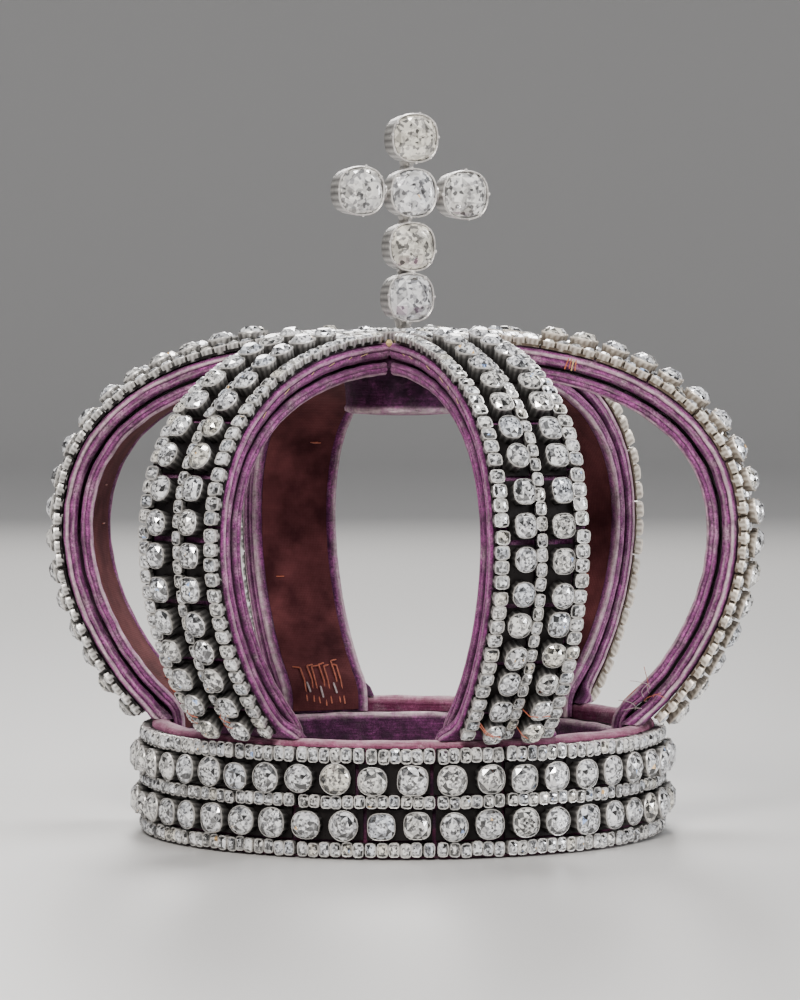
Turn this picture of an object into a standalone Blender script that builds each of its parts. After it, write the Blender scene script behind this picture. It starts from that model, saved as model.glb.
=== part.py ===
"""A small nuptial crown: a circlet and six half-arches, wrapped in velvet and set with silver-mounted stones,
carrying a cross of six large stones.

Frame: metres, +Z up, origin at the middle of the circlet's bottom. The front arch faces -Y, and so does the cross.
Each arch is drawn in its own side view (u = distance from the axis, z = height) and turned into place about Z.
"""

from math import cos, pi, radians, sin

import bmesh
import bpy
from mathutils import Matrix, Vector
from mathutils.geometry import interpolate_bezier

MM = 0.001
GAP = 0.3 * MM  # clearance between pieces that touch

# Circlet, from the outside in: velvet-covered band, metal ring, lining
BAND_RADIUS = 50.2 * MM
BAND_THICKNESS = 3.8 * MM
BAND_HEIGHT = 22.4 * MM
RING_RADIUS = 46.1 * MM
RING_THICKNESS = 1.2 * MM
RING_BOTTOM, RING_TOP = 3.0 * MM, 19.4 * MM
LINING_RADIUS = 44.6 * MM
LINING_THICKNESS = 1.8 * MM
LINING_BOTTOM, LINING_TOP = 0.4 * MM, 19.4 * MM
RING_STEPS = 36

# Stone rows round the circlet: middle height of each row, and its size
LARGE_ROWS = {"lower": 6.6 * MM, "upper": 15.3 * MM}
LARGE_COUNT = 46
LARGE_DIAMETER = 5.8 * MM
LARGE_STRIP_WIDTH = 5.9 * MM
LARGE_STAND = 4.5 * MM  # how far a large collet stands off the velvet
SMALL_ROWS = {"lower": (1.9 * MM, 2.8 * MM), "middle": (11.0 * MM, 2.5 * MM), "upper": (19.8 * MM, 2.9 * MM)}
SMALL_STAND = 2.8 * MM
BASE_STAND = 0.9 * MM  # top of the strip that joins the collets of a row

# Arches: the velvet's outer outline as two Bezier spans, hub to widest point to foot
ARCH_COUNT = 6
ARCH_NAMES = ("front", "right_front", "right_back", "back", "left_back", "left_front")
SPAN_TOP = [(6.0, 97.4), (36.0, 99.0), (67.6, 89.8), (67.6, 60.5)]
SPAN_FOOT = [(67.6, 60.5), (67.6, 43.5), (57.0, 29.0), (49.2, 22.4)]
SPAN_SAMPLES = 80
FOOT_RUN_ON = 9.0 * MM  # straight run past the foot, so that the inner layers reach it too
ARCH_WIDTH = 19.4 * MM
ARCH_INNER_END = 17.0 * MM  # the six bands meet the hexagonal hub plate here
OUTER_LAYER = 2.4 * MM
RIB_FACES = (2.7 * MM, 3.5 * MM)  # depths of the metal rib's two faces below the velvet
RIB_WIDTH = 8.0 * MM
LINING_FACES = (4.2 * MM, 5.8 * MM)
ARCH_STATIONS = 14  # corners along the outline, shared by every layer

# Stone rows along an arch, by their offset from its middle line
EDGE_ROW_OFFSET, EDGE_ROW_WIDTH, EDGE_ROW_START = 8.1 * MM, 2.8 * MM, 17.3 * MM
MIDDLE_ROW_WIDTH, MIDDLE_ROW_START = 2.2 * MM, 8.2 * MM
COLLET_ROW_OFFSET, COLLET_ROW_WIDTH, COLLET_ROW_START = 3.9 * MM, 5.2 * MM, 13.0 * MM
COLLET_DIAMETER = 4.9 * MM
COLLETS_PER_ROW = 17
FIRST_COLLET = 30.0 * MM  # the large collets begin at this distance from the axis
LAST_COLLET = 26.2 * MM  # and end at this height above the foot
SMALL_RUN_END = 27.2 * MM  # the row's small stones near the hub end at this distance from the axis
ROW_FOOT = 23.7 * MM
ROW_END_SLOPE = 0.7  # how much lower a row's outer face ends, for each mm that it stands off the velvet
COLLET_SIDES = 6
COLLET_TAPER = 0.88  # width of a collet's foot over that of its rim

# Hub
PLATE_TOP, PLATE_THICKNESS = 97.5 * MM, 2.4 * MM
RIB_DISC_RADIUS, RIB_END = 9.0 * MM, 7.2 * MM  # the ribs end inside the disc
RIB_DISC_MARGIN = 0.05 * MM
ROSETTE_RADII, ROSETTE_TOP = (3.8 * MM, 7.6 * MM), 100.5 * MM
PAD_RADIUS, PAD_TOP, PAD_BOTTOM = 12.0 * MM, 93.4 * MM, 83.2 * MM
PIN_RADIUS, PIN_BOTTOM, HOLE_TOP = 1.2 * MM, 86.0 * MM, 102.5 * MM
PIN_SEGMENTS = 12

# Cross, facing -Y
CROSS_COLLET_RADIUS, CROSS_COLLET_DEPTH = 5.1 * MM, 6.5 * MM
CROSS_FRONT = -3.9 * MM
CROSS_LIP = 0.5 * MM
CROSS_POCKET_DEPTH = 4.0 * MM
CROSS_LEVELS = (106.5 * MM, 116.6 * MM, 127.3 * MM, 138.2 * MM)  # middles of the upright's four stones
CROSS_ARM = 11.2 * MM
CROSS_STONE_STAND = 0.6 * MM
CROSS_LEAN = radians(1.6)  # the cross leans a little towards +X
LINK_RADIUS, LINK_SEGMENTS = 1.3 * MM, 8
LINK_SETBACK = 1.5 * MM  # the crossbar lies this far behind the collets' middle
FOOT_RADIUS, FOOT_THICKNESS = 3.4 * MM, 1.0 * MM
ROUND_SEGMENTS = 16

COLOURS = {
    "velvet": ((0.16, 0.03, 0.14), 0.9, 0.0),
    "lining": ((0.07, 0.015, 0.025), 0.85, 0.0),
    "silver": ((0.62, 0.60, 0.56), 0.35, 1.0),
    "rib": ((0.35, 0.33, 0.30), 0.5, 1.0),
    "stone": ((0.88, 0.89, 0.90), 0.05, 0.0),
}


def clear_scene():
    for ob in list(bpy.data.objects):
        bpy.data.objects.remove(ob)


def new_collection(name):
    collection = bpy.data.collections.new(name)
    bpy.context.scene.collection.children.link(collection)
    return collection


def material(kind):
    """The Principled material of one kind of surface, made once."""
    found = bpy.data.materials.get(kind)
    if found:
        return found
    colour, roughness, metallic = COLOURS[kind]
    made = bpy.data.materials.new(kind)
    made.use_nodes = True
    shader = made.node_tree.nodes["Principled BSDF"]
    shader.inputs["Base Color"].default_value = (*colour, 1)
    shader.inputs["Roughness"].default_value = roughness
    shader.inputs["Metallic"].default_value = metallic
    return made


def add_object(name, data, kind, collection):
    ob = bpy.data.objects.new(name, data)
    collection.objects.link(ob)
    if kind:
        data.materials.append(material(kind))
    return ob


def mesh_from(bm, name):
    mesh = bpy.data.meshes.new(name)
    bm.to_mesh(mesh)
    bm.free()
    return mesh


def boolean(ob, cutter, operation):
    """Joins or cuts with another object, which becomes a hidden wire guide."""
    for each in cutter.users_collection:
        each.objects.unlink(cutter)
    cutters.objects.link(cutter)
    cutter.hide_render = True
    cutter.display_type = "WIRE"
    step = ob.modifiers.new(operation.title(), "BOOLEAN")
    step.object = cutter
    step.operation = operation
    step.solver = "EXACT"


# Turned pieces


def turned_ring(name, kind, outer, inner, bottom, top):
    """A ring of rectangular section, as a Screw of its outline."""
    corners = [(outer, top), (outer, bottom), (inner, bottom), (inner, top)]
    bm = bmesh.new()
    verts = [bm.verts.new((r, 0, z)) for r, z in corners]
    for a, b in zip(verts, verts[1:] + verts[:1]):
        bm.edges.new((a, b))
    ob = add_object(name, mesh_from(bm, name), kind, parts)
    screw = ob.modifiers.new("Screw", "SCREW")
    screw.steps = screw.render_steps = RING_STEPS
    screw.use_merge_vertices = True
    screw.merge_threshold = 0.00001
    return ob


def turned_solid(name, kind, radius, bottom, top, segments=ROUND_SEGMENTS, collection=None):
    """A plain disc, pin or polygonal plate standing on the axis."""
    bm = bmesh.new()
    middle = Matrix.Translation((0, 0, (top + bottom) / 2))
    bmesh.ops.create_cone(
        bm, cap_ends=True, segments=segments, radius1=radius, radius2=radius, depth=top - bottom, matrix=middle
    )
    return add_object(name, mesh_from(bm, name), kind, collection or parts)


# Arch outline


def even(line, count):
    """A line resampled to points at even distances."""
    lengths = [0.0]
    for a, b in zip(line, line[1:]):
        lengths.append(lengths[-1] + (b - a).length)
    result = []
    i = 0
    for k in range(count):
        wanted = lengths[-1] * k / (count - 1)
        while i < len(line) - 2 and lengths[i + 1] < wanted:
            i += 1
        share = (wanted - lengths[i]) / (lengths[i + 1] - lengths[i])
        result.append(line[i].lerp(line[i + 1], share))
    return result


def facet_normal(a, b):
    return Vector((a.y - b.y, b.x - a.x, 0)).normalized()


def arch_outline():
    """The velvet's outer outline as even facets, each corner with the mitre that keeps moved facets parallel."""
    points = []
    for span in (SPAN_TOP, SPAN_FOOT):
        knots = [Vector((u, z, 0)) * MM for u, z in span]
        run = interpolate_bezier(knots[0], knots[1], knots[2], knots[3], SPAN_SAMPLES)
        points += run[1:] if points else run
    points.append(points[-1] + (points[-1] - points[-2]).normalized() * FOOT_RUN_ON)
    points = even(points, ARCH_STATIONS)
    normals = [facet_normal(a, b) for a, b in zip(points, points[1:])]
    befores, afters = normals[:1] + normals, normals + normals[-1:]
    return [(point, (m + n) / (1 + m.dot(n))) for point, m, n in zip(points, befores, afters)]


def face_line(depth):
    """The outline moved inwards by a depth, or outwards by a negative one."""
    return [point - mitre * depth for point, mitre in OUTLINE]


def cut_after(line, still_inside):
    """The start of a line, up to the place where the test first fails after having held."""
    kept = []
    for point in line:
        if kept and still_inside(point) < 0:
            before = still_inside(kept[-1])
            share = before / (before - still_inside(point))
            kept.append(kept[-1].lerp(point, share))
            return kept
        if kept or still_inside(point) >= 0:
            kept.append(point)
    return kept


def from_radius(line, radius):
    """The part of a line that lies further out than a radius."""
    return cut_after(line[::-1], lambda p: p.x - radius)[::-1]


def down_to(line, height):
    return cut_after(line, lambda p: p.y - height)


def down_to_radius(line, radius):
    """Cuts the foot off where it comes back in to a radius."""
    widest = max(range(len(line)), key=lambda i: line[i].x)
    return line[:widest] + cut_after(line[widest:], lambda p: p.x - radius)


def arch_axes(index):
    """An arch's outward and rightward directions, seen from outside."""
    angle = 2 * pi * index / ARCH_COUNT
    return Vector((sin(angle), -cos(angle), 0)), Vector((cos(angle), sin(angle), 0))


def place_on_arch(ob, index, offset):
    """Turns a side view into place: local x points outwards, local y up."""
    ob.rotation_euler = (pi / 2, 0, 2 * pi * index / ARCH_COUNT - pi / 2)
    ob.location = arch_axes(index)[1] * offset


def side_view(name, kind, outline, width, index, offset=0.0):
    """A flat outline in an arch's side view, extruded to a width."""
    curve = bpy.data.curves.new(name, "CURVE")
    curve.dimensions = "2D"
    curve.fill_mode = "BOTH"
    curve.extrude = width / 2
    spline = curve.splines.new("POLY")
    spline.points.add(len(outline) - 1)
    for target, point in zip(spline.points, outline):
        target.co = (point.x, point.y, 0, 1)
    spline.use_cyclic_u = True
    ob = add_object(name, curve, kind, parts)
    place_on_arch(ob, index, offset)
    return ob


def as_mesh(curve_ob, kind):
    """The same piece as a welded mesh, so that it can be joined and cut."""
    bpy.context.view_layer.update()
    graph = bpy.context.evaluated_depsgraph_get()
    mesh = bpy.data.meshes.new_from_object(curve_ob.evaluated_get(graph))
    bm = bmesh.new()
    bm.from_mesh(mesh)
    bmesh.ops.remove_doubles(bm, verts=bm.verts, dist=0.001 * MM)
    bm.to_mesh(mesh)
    bm.free()
    name, place = curve_ob.name, curve_ob.matrix_world.copy()
    bpy.data.objects.remove(curve_ob)
    mesh.materials.clear()
    ob = add_object(name, mesh, kind, parts)
    ob.matrix_world = place
    return ob


# Arch layers


def outer_layer(index):
    """The velvet-covered band that carries the stones. Its foot stands on the circlet's rim."""
    foot = BAND_HEIGHT + GAP
    faces = [down_to(from_radius(face_line(depth), ARCH_INNER_END), foot) for depth in (0, OUTER_LAYER)]
    outline = faces[0] + faces[1][::-1]
    return side_view(f"arch_{ARCH_NAMES[index]}_outer_band", "velvet", outline, ARCH_WIDTH, index)


def inner_layer(index):
    """The lining band, whose foot turns down onto the circlet's lining."""
    foot = LINING_TOP + GAP
    outline = []
    for depth, radius, order in (
        (LINING_FACES[0], LINING_RADIUS, 1),
        (LINING_FACES[1], LINING_RADIUS - LINING_FACES[1] + LINING_FACES[0], -1),
    ):
        face = down_to_radius(from_radius(face_line(depth), ARCH_INNER_END), radius)
        outline += (face + [Vector((radius, foot, 0))])[::order]
    return side_view(f"arch_{ARCH_NAMES[index]}_lining_band", "lining", outline, ARCH_WIDTH, index)


def rib(index):
    """The metal strip between the layers, from the hub disc down into the ring."""
    outer_leg = RING_RADIUS - GAP
    thickness = RIB_FACES[1] - RIB_FACES[0]
    outline = []
    for depth, radius, order in ((RIB_FACES[0], outer_leg, 1), (RIB_FACES[1], outer_leg - thickness, -1)):
        face = down_to_radius(from_radius(face_line(depth), RIB_END), radius)
        outline += (face + [Vector((radius, (RING_BOTTOM + RING_TOP) / 2, 0))])[::order]
    return as_mesh(side_view(f"rib_{index}", "rib", outline, RIB_WIDTH, index), "rib")


# Stone rows


def small_row(index, suffix, width, offset, start):
    """A row of small stones along an arch, as one bar."""
    faces = [
        down_to(from_radius(face_line(-stand), start), ROW_FOOT - (stand - GAP) * ROW_END_SLOPE)
        for stand in (SMALL_STAND, GAP)
    ]
    outline = faces[0] + faces[1][::-1]
    return side_view(f"arch_{ARCH_NAMES[index]}_bars_{suffix}", "silver", outline, width, index, offset)


def collet_places():
    """Evenly spaced places for the large collets along the outline, with the way each one faces."""
    line = down_to(from_radius(face_line(0), FIRST_COLLET), LAST_COLLET)
    places = []
    for point in even(line, COLLETS_PER_ROW):
        a, b = min(zip(line, line[1:]), key=lambda edge: (point - edge[0].lerp(edge[1], 0.5)).length)
        places.append((point, facet_normal(a, b)))
    return places


def hexagonal_collets(name, places, radius, low, high):
    """Tapered six-sided collets, each standing along its own outward direction."""
    bm = bmesh.new()
    for point, outward in places:
        turn = Vector((0, 0, 1)).rotation_difference(outward).to_matrix().to_4x4()
        middle = Matrix.Translation(point + outward * (low + high) / 2)
        bmesh.ops.create_cone(
            bm,
            cap_ends=True,
            segments=COLLET_SIDES,
            radius1=radius * COLLET_TAPER,
            radius2=radius,
            depth=high - low,
            matrix=middle @ turn,
        )
    return add_object(name, mesh_from(bm, name), None, cutters)


def collet_row(index, suffix, offset):
    """A row of large collets on their strip, with small ones near the hub."""
    top = cut_after(from_radius(face_line(-SMALL_STAND), COLLET_ROW_START), lambda p: SMALL_RUN_END - p.x)
    low = down_to(from_radius(face_line(-BASE_STAND), SMALL_RUN_END), ROW_FOOT)
    under = down_to(from_radius(face_line(-GAP), COLLET_ROW_START), ROW_FOOT + GAP)
    name = f"arch_{ARCH_NAMES[index]}_collets_{suffix}"
    row = as_mesh(side_view(name, "silver", top + low + under[::-1], COLLET_ROW_WIDTH, index, offset), "silver")
    collets = hexagonal_collets(f"{name}_shapes", collet_places(), COLLET_DIAMETER / 2, GAP * 1.5, LARGE_STAND)
    collets.matrix_world = row.matrix_world
    boolean(row, collets, "UNION")
    return row


def circlet_collets(level):
    """A row of large collets round the circlet, on their strip."""
    height = LARGE_ROWS[level]
    strip_half = LARGE_STRIP_WIDTH / 2
    row = turned_ring(
        f"circlet_collets_{level}",
        "silver",
        BAND_RADIUS + BASE_STAND,
        BAND_RADIUS + GAP,
        height - strip_half,
        height + strip_half,
    )
    places = []
    for k in range(LARGE_COUNT):
        angle = 2 * pi * (k + 0.5) / LARGE_COUNT
        outward = Vector((sin(angle), -cos(angle), 0))
        places.append((outward * BAND_RADIUS + Vector((0, 0, height)), outward))
    shapes = hexagonal_collets(f"{row.name}_shapes", places, LARGE_DIAMETER / 2, GAP * 2, LARGE_STAND)
    boolean(row, shapes, "UNION")


# Assemblies


def circlet():
    band_inner = BAND_RADIUS - BAND_THICKNESS
    turned_ring("circlet_band", "velvet", BAND_RADIUS, band_inner, 0, BAND_HEIGHT)
    lining_inner = LINING_RADIUS - LINING_THICKNESS
    turned_ring("circlet_lining", "lining", LINING_RADIUS, lining_inner, LINING_BOTTOM, LINING_TOP)
    for level in LARGE_ROWS:
        circlet_collets(level)
    for level, (middle, height) in SMALL_ROWS.items():
        turned_ring(
            f"circlet_bars_{level}",
            "silver",
            BAND_RADIUS + SMALL_STAND,
            BAND_RADIUS + GAP,
            middle - height / 2,
            middle + height / 2,
        )


def arch(index):
    outer_layer(index)
    inner_layer(index)
    small_row(index, "left", EDGE_ROW_WIDTH, -EDGE_ROW_OFFSET, EDGE_ROW_START)
    small_row(index, "middle", MIDDLE_ROW_WIDTH, 0, MIDDLE_ROW_START)
    small_row(index, "right", EDGE_ROW_WIDTH, EDGE_ROW_OFFSET, EDGE_ROW_START)
    collet_row(index, "left", -COLLET_ROW_OFFSET)
    collet_row(index, "right", COLLET_ROW_OFFSET)


def pin_hole(name):
    """A cutter round the cross's pin, with clearance."""
    return turned_solid(name, None, PIN_RADIUS + GAP, PIN_BOTTOM - GAP, HOLE_TOP, PIN_SEGMENTS, cutters)


def skeleton():
    """The soldered metal frame: a ring, six ribs and the disc where they meet."""
    ring_inner = RING_RADIUS - RING_THICKNESS
    ring = turned_ring("metal_skeleton", "rib", RING_RADIUS, ring_inner, RING_BOTTOM, RING_TOP)
    for index in range(ARCH_COUNT):
        boolean(ring, rib(index), "UNION")
    top = from_radius(face_line(RIB_FACES[0]), RIB_DISC_RADIUS)[0].y + RIB_DISC_MARGIN
    bottom = from_radius(face_line(RIB_FACES[1]), RIB_END)[0].y - RIB_DISC_MARGIN
    disc = turned_solid("rib_disc", None, RIB_DISC_RADIUS, bottom, top, collection=cutters)
    boolean(ring, disc, "UNION")
    boolean(ring, pin_hole("skeleton_pin_hole"), "DIFFERENCE")


def hub():
    """The plate over the crossing, the ring of stones round the cross's foot, and the pad below."""
    corner = (ARCH_INNER_END - GAP) / cos(pi / ARCH_COUNT)
    plate = turned_solid("hub_plate", "velvet", corner, PLATE_TOP - PLATE_THICKNESS, PLATE_TOP, ARCH_COUNT)
    plate.rotation_euler = (0, 0, pi / ARCH_COUNT)
    boolean(plate, pin_hole("plate_pin_hole"), "DIFFERENCE")
    pad = turned_solid("hub_pad", "velvet", PAD_RADIUS, PAD_BOTTOM, PAD_TOP)
    boolean(pad, pin_hole("pad_pin_hole"), "DIFFERENCE")
    turned_ring("hub_rosette", "silver", ROSETTE_RADII[1], ROSETTE_RADII[0], PLATE_TOP + GAP, ROSETTE_TOP)


def cross_places():
    """Each large stone of the cross: its name and its middle, before the cross leans."""
    lowest, lower, crossing, top = CROSS_LEVELS
    return {
        "lowest": Vector((0, 0, lowest)),
        "lower": Vector((0, 0, lower)),
        "centre": Vector((0, 0, crossing)),
        "top": Vector((0, 0, top)),
        "left": Vector((-CROSS_ARM, 0, crossing)),
        "right": Vector((CROSS_ARM, 0, crossing)),
    }


def facing_cylinder(name, kind, middle, radius, front, back, collection):
    """A round piece whose axis points to the front."""
    bm = bmesh.new()
    turn = Matrix.Rotation(pi / 2, 4, "X")
    place = Matrix.Translation(middle + Vector((0, (front + back) / 2, 0)))
    bmesh.ops.create_cone(
        bm,
        cap_ends=True,
        segments=ROUND_SEGMENTS,
        radius1=radius,
        radius2=radius,
        depth=back - front,
        matrix=place @ turn,
    )
    return add_object(name, mesh_from(bm, name), kind, collection)


def link(name, start, end):
    """A short round bar between two places."""
    bm = bmesh.new()
    turn = Vector((0, 0, 1)).rotation_difference(end - start).to_matrix().to_4x4()
    bmesh.ops.create_cone(
        bm,
        cap_ends=True,
        segments=LINK_SEGMENTS,
        radius1=LINK_RADIUS,
        radius2=LINK_RADIUS,
        depth=(end - start).length,
        matrix=Matrix.Translation((start + end) / 2) @ turn,
    )
    return add_object(name, mesh_from(bm, name), None, cutters)


def cross():
    """One soldered setting with a pin below, and a stone in each of its six collets."""
    places = cross_places()
    base = PLATE_TOP + GAP
    lean = Matrix.Translation((0, 0, base)) @ Matrix.Rotation(CROSS_LEAN, 4, "Y") @ Matrix.Translation((0, 0, -base))
    back = CROSS_FRONT + CROSS_COLLET_DEPTH
    setting = facing_cylinder(
        "cross_setting", "silver", places["centre"], CROSS_COLLET_RADIUS, CROSS_FRONT, back, parts
    )
    setting.matrix_world = lean
    for name, middle in places.items():
        if name != "centre":
            collet = facing_cylinder(f"collet_{name}", None, middle, CROSS_COLLET_RADIUS, CROSS_FRONT, back, cutters)
            collet.matrix_world = lean
            boolean(setting, collet, "UNION")
    setback = Vector((0, (CROSS_FRONT + back) / 2 + LINK_SETBACK, 0))
    for name, start, end in (
        ("upright", Vector((0, 0, base + FOOT_THICKNESS / 2)), places["top"]),
        ("crossbar", places["left"] + setback, places["right"] + setback),
    ):
        bar = link(f"link_{name}", start, end)
        bar.matrix_world = lean
        boolean(setting, bar, "UNION")
    foot = turned_solid("cross_foot", None, FOOT_RADIUS, base, base + FOOT_THICKNESS, collection=cutters)
    boolean(setting, foot, "UNION")
    pin_top = base + FOOT_THICKNESS / 2
    pin = turned_solid("cross_pin", None, PIN_RADIUS, PIN_BOTTOM, pin_top, PIN_SEGMENTS, cutters)
    boolean(setting, pin, "UNION")
    pocket_radius = CROSS_COLLET_RADIUS - CROSS_LIP
    for name, middle in places.items():
        pocket = facing_cylinder(
            f"pocket_{name}", None, middle, pocket_radius, CROSS_FRONT - MM, CROSS_FRONT + CROSS_POCKET_DEPTH, cutters
        )
        pocket.matrix_world = lean
        boolean(setting, pocket, "DIFFERENCE")
        stone = facing_cylinder(
            f"cross_stone_{name}",
            "stone",
            middle,
            pocket_radius - GAP,
            CROSS_FRONT - CROSS_STONE_STAND,
            CROSS_FRONT + CROSS_POCKET_DEPTH - GAP,
            parts,
        )
        stone.matrix_world = lean


clear_scene()
parts = new_collection("nuptial_crown")
cutters = new_collection("cutters")
OUTLINE = arch_outline()
circlet()
for arch_index in range(ARCH_COUNT):
    arch(arch_index)
skeleton()
hub()
cross()
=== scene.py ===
"""Looks for the nuptial crown: velvet bands, silver collets, faceted stones and sewing threads on its frame.

Places are worked out in millimetres, +Z up, with the front arch and the cross facing -Y. The arch outline and
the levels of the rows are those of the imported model, so that every visible piece lies where its solid is.
"""

from math import cos, pi, radians, sin, tau

import bpy
import numpy as np
from mathutils import Matrix, Vector, noise
from mathutils.geometry import interpolate_bezier


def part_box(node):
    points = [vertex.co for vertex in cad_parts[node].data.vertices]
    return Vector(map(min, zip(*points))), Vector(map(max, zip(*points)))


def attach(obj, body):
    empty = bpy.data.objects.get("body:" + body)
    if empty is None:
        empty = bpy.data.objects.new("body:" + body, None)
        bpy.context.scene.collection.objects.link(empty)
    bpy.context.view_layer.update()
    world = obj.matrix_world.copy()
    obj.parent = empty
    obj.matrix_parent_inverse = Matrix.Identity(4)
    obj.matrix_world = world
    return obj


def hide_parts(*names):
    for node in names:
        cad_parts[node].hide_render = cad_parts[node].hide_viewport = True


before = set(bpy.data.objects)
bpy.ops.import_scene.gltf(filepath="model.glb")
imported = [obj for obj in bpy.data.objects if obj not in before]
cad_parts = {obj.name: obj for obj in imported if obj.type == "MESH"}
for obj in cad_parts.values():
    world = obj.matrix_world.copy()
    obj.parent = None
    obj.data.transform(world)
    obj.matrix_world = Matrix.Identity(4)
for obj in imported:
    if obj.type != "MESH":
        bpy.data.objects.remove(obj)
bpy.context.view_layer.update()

MM = 0.001
SEED = 1893


def box_mm(node):
    """The low and high corners of a CAD node's box."""
    return [[float(value) for value in np.array(corner) / MM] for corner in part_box(node)]


# Circlet, as wide and as high as its solid, with its lining inside it
BAND_RADIUS, BAND_TOP = box_mm("circlet_band")[1][1:]
BAND_THICKNESS = 3.8
LINING_RADIUS, LINING_THICKNESS = 44.6, 1.8
LINING_BOTTOM, LINING_TOP = (corner[2] for corner in box_mm("circlet_lining"))

# Rows round the circlet: the middle height of each, with its width where the stones are small
LARGE_LEVELS = {"lower": 6.6, "upper": 15.3}
LARGE_COUNT = 46
LARGE_STRIP_HALF_WIDTH, LARGE_STRIP_GAP = 2.9, 0.35
SMALL_LEVELS = {"lower": (1.9, 2.8), "middle": (11.0, 2.5), "upper": (19.8, 2.9)}
BARS_ROUND, STONES_PER_BAR = 24, 6

# Arches: the outer outline as two spans of (distance from the axis, height), hub to widest point to foot
ARCH_NAMES = ("front", "right_front", "right_back", "back", "left_back", "left_front")
SPAN_TOP = [(6.0, 97.4), (36.0, 99.0), (67.6, 89.8), (67.6, 60.5)]
SPAN_FOOT = [(67.6, 60.5), (67.6, 43.5), (57.0, 29.0), (49.2, 22.4)]
FOOT_RUN_ON = 9.0
HUB_EDGE = 17.0  # distance from the axis where the six bands meet the hub plate
LINING_DEPTH = 4.2  # from the velvet's outer face to the lining's
FOOT_LEVEL = BAND_TOP + 0.15  # where the velvet stands on the circlet
FOOT_SPREAD, SPREAD_REACH = 0.25, 1.3  # how much wider it is there, and how soon that fades above

# Rows on an arch: offsets from its middle line, ends, and sizes
EDGE_OFFSET, LARGE_OFFSET = 8.1, 3.9
EDGE_START, LARGE_START, MIDDLE_START = 17.5, 13.2, 8.4  # distances from the axis
FIRST_COLLET, LAST_COLLET_HEIGHT, ROW_FOOT = 30.0, 26.2, 23.9
COLLETS_PER_ROW, COLLETS_PER_STRIP = 17, 2
BAR_LENGTH, BAR_GAP, PER_BAR = 10.6, 0.4, 4
EDGE_HALF_WIDTH, MIDDLE_HALF_WIDTH, HUB_RUN_HALF_WIDTH = 1.4, 1.05, 1.75
HUB_RUN_CLEARANCE = 2.8  # from the small stones near the hub to the middle of the first large one
ARCH_COLLET = (2.36, 2.62)  # half its width across the arch, and along it
CIRCLET_COLLET = (3.02, 3.02)
LARGE_STAND, SMALL_STAND, EDGE_STAND, MIDDLE_STAND = 4.6, 2.7, 2.4, 2.3
STRIP_LOW, STRIP_HIGH = 0.2, 0.7
STRIP_OVERHANG = 0.42  # how far a strip runs past the middles of its end collets, in collets

# What sets one arch apart from the others
COARSE_EDGES = {"right_back": (3, 3.7)}  # fewer, taller stones in each bar of the edge rows
# The two right arches take a paler, creamier, less metallic copy of the silver: painted light, for how
# brightly these arches are lit
ARCH_SILVER = {"right_front": "painted_lit_silver", "right_back": "painted_lit_silver"}
RIDGE_WEAR = {"front": 0.35, "left_front": 0.5}  # how far the ridge beside the stones is worn, if not wholly
GLINTING = ("front", "left_front")  # gold thread on the edges and red thread at the feet
FRAYED_ARCH, FRAYED_COUNT = "right_front", 11  # loose threads at its foot
WRAPPED_ARCH, WRAP_DISTANCE = "right_front", 34.5  # a thread wrapped over its edge, this far from the axis
MUCH_SEWN = ("right_back", "back")  # the most stitches at the foot of the lining

# Hub and cross
PLATE_TOP = box_mm("hub_plate")[1][2]
ROSETTE_RINGS, ROSETTE_STAND = ((4.75, 11), (6.75, 16)), 3.0  # radius and count of stones
CROSS_COLLET_RADIUS, CROSS_DEPTH, CROSS_FRONT, CROSS_GRAINS = 5.1, 6.5, -3.9, 8
CROSS_LEVELS, CROSS_ARM = (106.5, 116.6, 127.3, 138.2), 11.2
CROSS_BASE, PIN_BOTTOM, PIN_HOLE = 97.8, 86.2, 1.6
CROSS_LEAN = radians(1.6)

# Camera: the photographed view's azimuth, distance, height, and the place that it is aimed at
VIEW_AZIMUTH = radians(-22)
VIEW_DISTANCE, VIEW_HEIGHT, AIM_HEIGHT, AIM_LEFT = 900.0, 107.0, 66.0, 0.6
LENS = 162.0


def rng_for(name):
    """A random source of its own for each piece, so that one change leaves the rest alone."""
    return np.random.default_rng([SEED, *name.encode()])


# ---------------------------------------------------------------- stage, light and camera


FLOOR_RADIUS, COVE_RADIUS, WALL_TOP = 1.9, 0.8, 1.9  # metres
LAMPS = [  # place, width and power, in metres and watts
    ("key", (-0.50, -0.85, 0.75), 0.32, 17.0, (1.0, 0.97, 0.93)),
    ("fill", (0.80, -0.70, 0.35), 0.35, 7.0, (0.95, 0.97, 1.0)),
    ("top", (0.10, 0.10, 1.00), 0.35, 8.0, (1.0, 1.0, 1.0)),
    ("back", (0.30, 0.95, 0.55), 0.45, 6.0, (1.0, 0.98, 0.95)),
]
LAMPS_AIM = (0, 0, 0.06)


def add_object(name, data):
    """A new object in the scene."""
    ob = bpy.data.objects.new(name, data)
    bpy.context.scene.collection.objects.link(ob)
    return ob


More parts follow.
